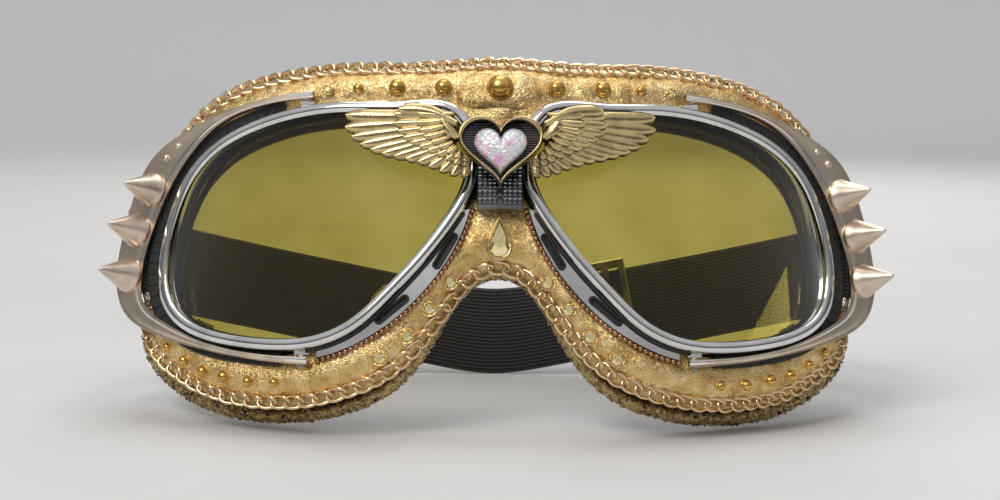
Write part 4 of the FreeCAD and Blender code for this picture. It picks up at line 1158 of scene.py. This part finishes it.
def build_strap():
    """Ribbed elastic webbing: ribs run along it and its edges are rounded."""
    steps, half = STRAP_RIBS * 4, STRAP_THICK / 2
    section, shade = [], []
    for k in range(steps + 1):
        v = k / steps
        edge = min(1.0, min(v, 1 - v) * STRAP_WIDE / 0.6)
        rib = 0.5 - 0.5 * cos(k * pi / 2)
        section.append((v, (half - 0.3 + 0.28 * rib) * edge ** 0.5))
        shade.append(rib)
    section += [(v, -t) for v, t in section[::-1]]
    shade += shade[::-1]
    path = smooth(strap_path(), 520, closed=False)
    verts, faces = capped([np.array([p + UP * STRAP_WIDE * v + n * t for v, t in section])
                           for p, n in zip(path, level_sides(path))])
    placed = off_floor((verts + np.array([0, SHIFT, 0])) * MM)
    # the rib tones paint the rib tops lighter and the valleys darker, as highlight and shade
    add("ribbed_strap", (placed, faces), ribbed, "strap_webbing", "strap_tail", ready=True,
        tones=("rib", np.tile(shade, len(path))))


# ---- kept CAD pieces
def dress_frame():
    for side in ("left", "right"):
        for node, finish, bevel in (("eyecup_", cup_chrome, 0.25), ("lens_clips_", steel, 0.15),
                                    ("outrigger_", champagne, 0.3), ("hinge_pins_", steel, 0.12),
                                    ("strap_bar_", steel, 0.15)):
            dress(node + side, finish, bevel)
    dress("face_foam", foam)
    dress("bridge_core", core_black, 0.2)
    dress("bridge_screws", steel, 0.15)
    dress("badge_posts", brass, 0.1)
    dress("strap_adjuster", chrome, 0.3)


# ---- camera, light and floor
def build_floor():
    """Pale sheet that runs along the floor and curves up behind, painted paler where it is far off and
    turns upright, to make up for the weaker light that reaches it there.
    """
    bend, turn = 0.7, 1.1
    profile = [(-3.0, 0.0), (0.2, 0.0)]
    profile += [(turn + bend * sin(a), bend - bend * cos(a))
                for a in np.linspace(0, pi / 2, 16)]
    profile.append((turn + bend, 4.0))
    verts, faces = strip([np.array([(x, y, z) for y, z in profile]) for x in (-5.0, 5.0)], False, False)
    f = Finish("pale_floor", (0.66, 0.655, 0.65), 0.0, 0.75)
    near = f.ramp(f.noise(0.01, 2.0), (0.3, (0.64, 0.635, 0.63)), (0.7, (0.68, 0.675, 0.67)))
    # painted light: the far floor and the backdrop are made paler for the weaker light they get
    f.color(f.mix(f.attribute("far"), near, (0.93, 0.93, 0.93)))
    far = np.clip((verts[:, 1] - 0.2) / 1.2, 0, 1)
    new_object("floor", verts, faces, f, tones=("far", far))


def build_camera():
    camera = bpy.data.cameras.new("camera")
    camera.lens = 67.5
    camera.sensor_width = 36.0
    camera.clip_start = 0.01
    eye = bpy.data.objects.new("camera", camera)
    bpy.context.scene.collection.objects.link(eye)
    target = Vector(stand([(0.12, 0, 0)])[0]) - Vector((0, 0, 0.0053))
    side, rise, roll = np.radians([-1.0, 6.6, 0.6])
    back = Vector((sin(side) * cos(rise), -cos(side) * cos(rise), sin(rise)))
    eye.location = target + back * CAMERA_FAR
    aim = (-back).to_track_quat("-Z", "Y").to_matrix()
    eye.rotation_euler = (aim @ Matrix.Rotation(roll, 3, "Z")).to_euler()
    bpy.context.scene.camera = eye


def build_lights():
    """Four soft lamps, and a world that is dark low down and pale above for the metals."""
    for name, place, size, power, tint in (
            ("key", (-0.35, -0.6, 0.7), 0.4, 4.0, (1.0, 0.98, 0.96)),
            ("fill", (0.85, -0.42, 0.14), 0.32, 1.6, (0.97, 0.98, 1.0)),
            ("top", (0.0, 0.15, 0.95), 0.6, 2.8, (1.0, 1.0, 1.0)),
            ("back", (0.2, 0.75, 0.55), 0.5, 1.7, (1.0, 0.99, 0.97))):
        lamp = bpy.data.lights.new(name, "AREA")
        lamp.size = size
        lamp.energy = power
        lamp.color = tint
        obj = bpy.data.objects.new(name, lamp)
        bpy.context.scene.collection.objects.link(obj)
        obj.location = place
        obj.rotation_euler = (Vector((0, 0, 0.05)) - Vector(place)).to_track_quat("-Z", "Y").to_euler()
        # a mirrored fill lamp would draw a hard white corner in the right lens
        obj.visible_glossy = name != "fill"
    world = bpy.data.worlds.new("studio")
    bpy.context.scene.world = world
    world.use_nodes = True
    nodes = Nodes(world.node_tree)
    sky = nodes.tree.nodes["Background"].inputs
    parts = nodes.node("SeparateXYZ")
    nodes.feed(nodes.node("TexCoord").outputs["Generated"], parts.inputs["Vector"])
    nodes.feed(nodes.ramp(parts.outputs["Z"], (0.05, (0.1, 0.1, 0.11)), (0.65, 0.8)), sky["Color"])
    nodes.feed(0.68, sky["Strength"])
    bpy.context.scene.view_settings.view_transform = "Standard"


build_floor()
build_camera()
build_lights()
dress_frame()
build_rims()
build_lenses()
build_gaskets()
build_skin()
build_brow()
build_lining()
build_trim()
build_edge_chain()
build_bead_chains()
build_brackets()
build_spikes()
build_pearls()
build_stones()
build_teardrop()
build_band()
build_badge()
build_heart()
build_skirts()
build_mesh()
build_strap()
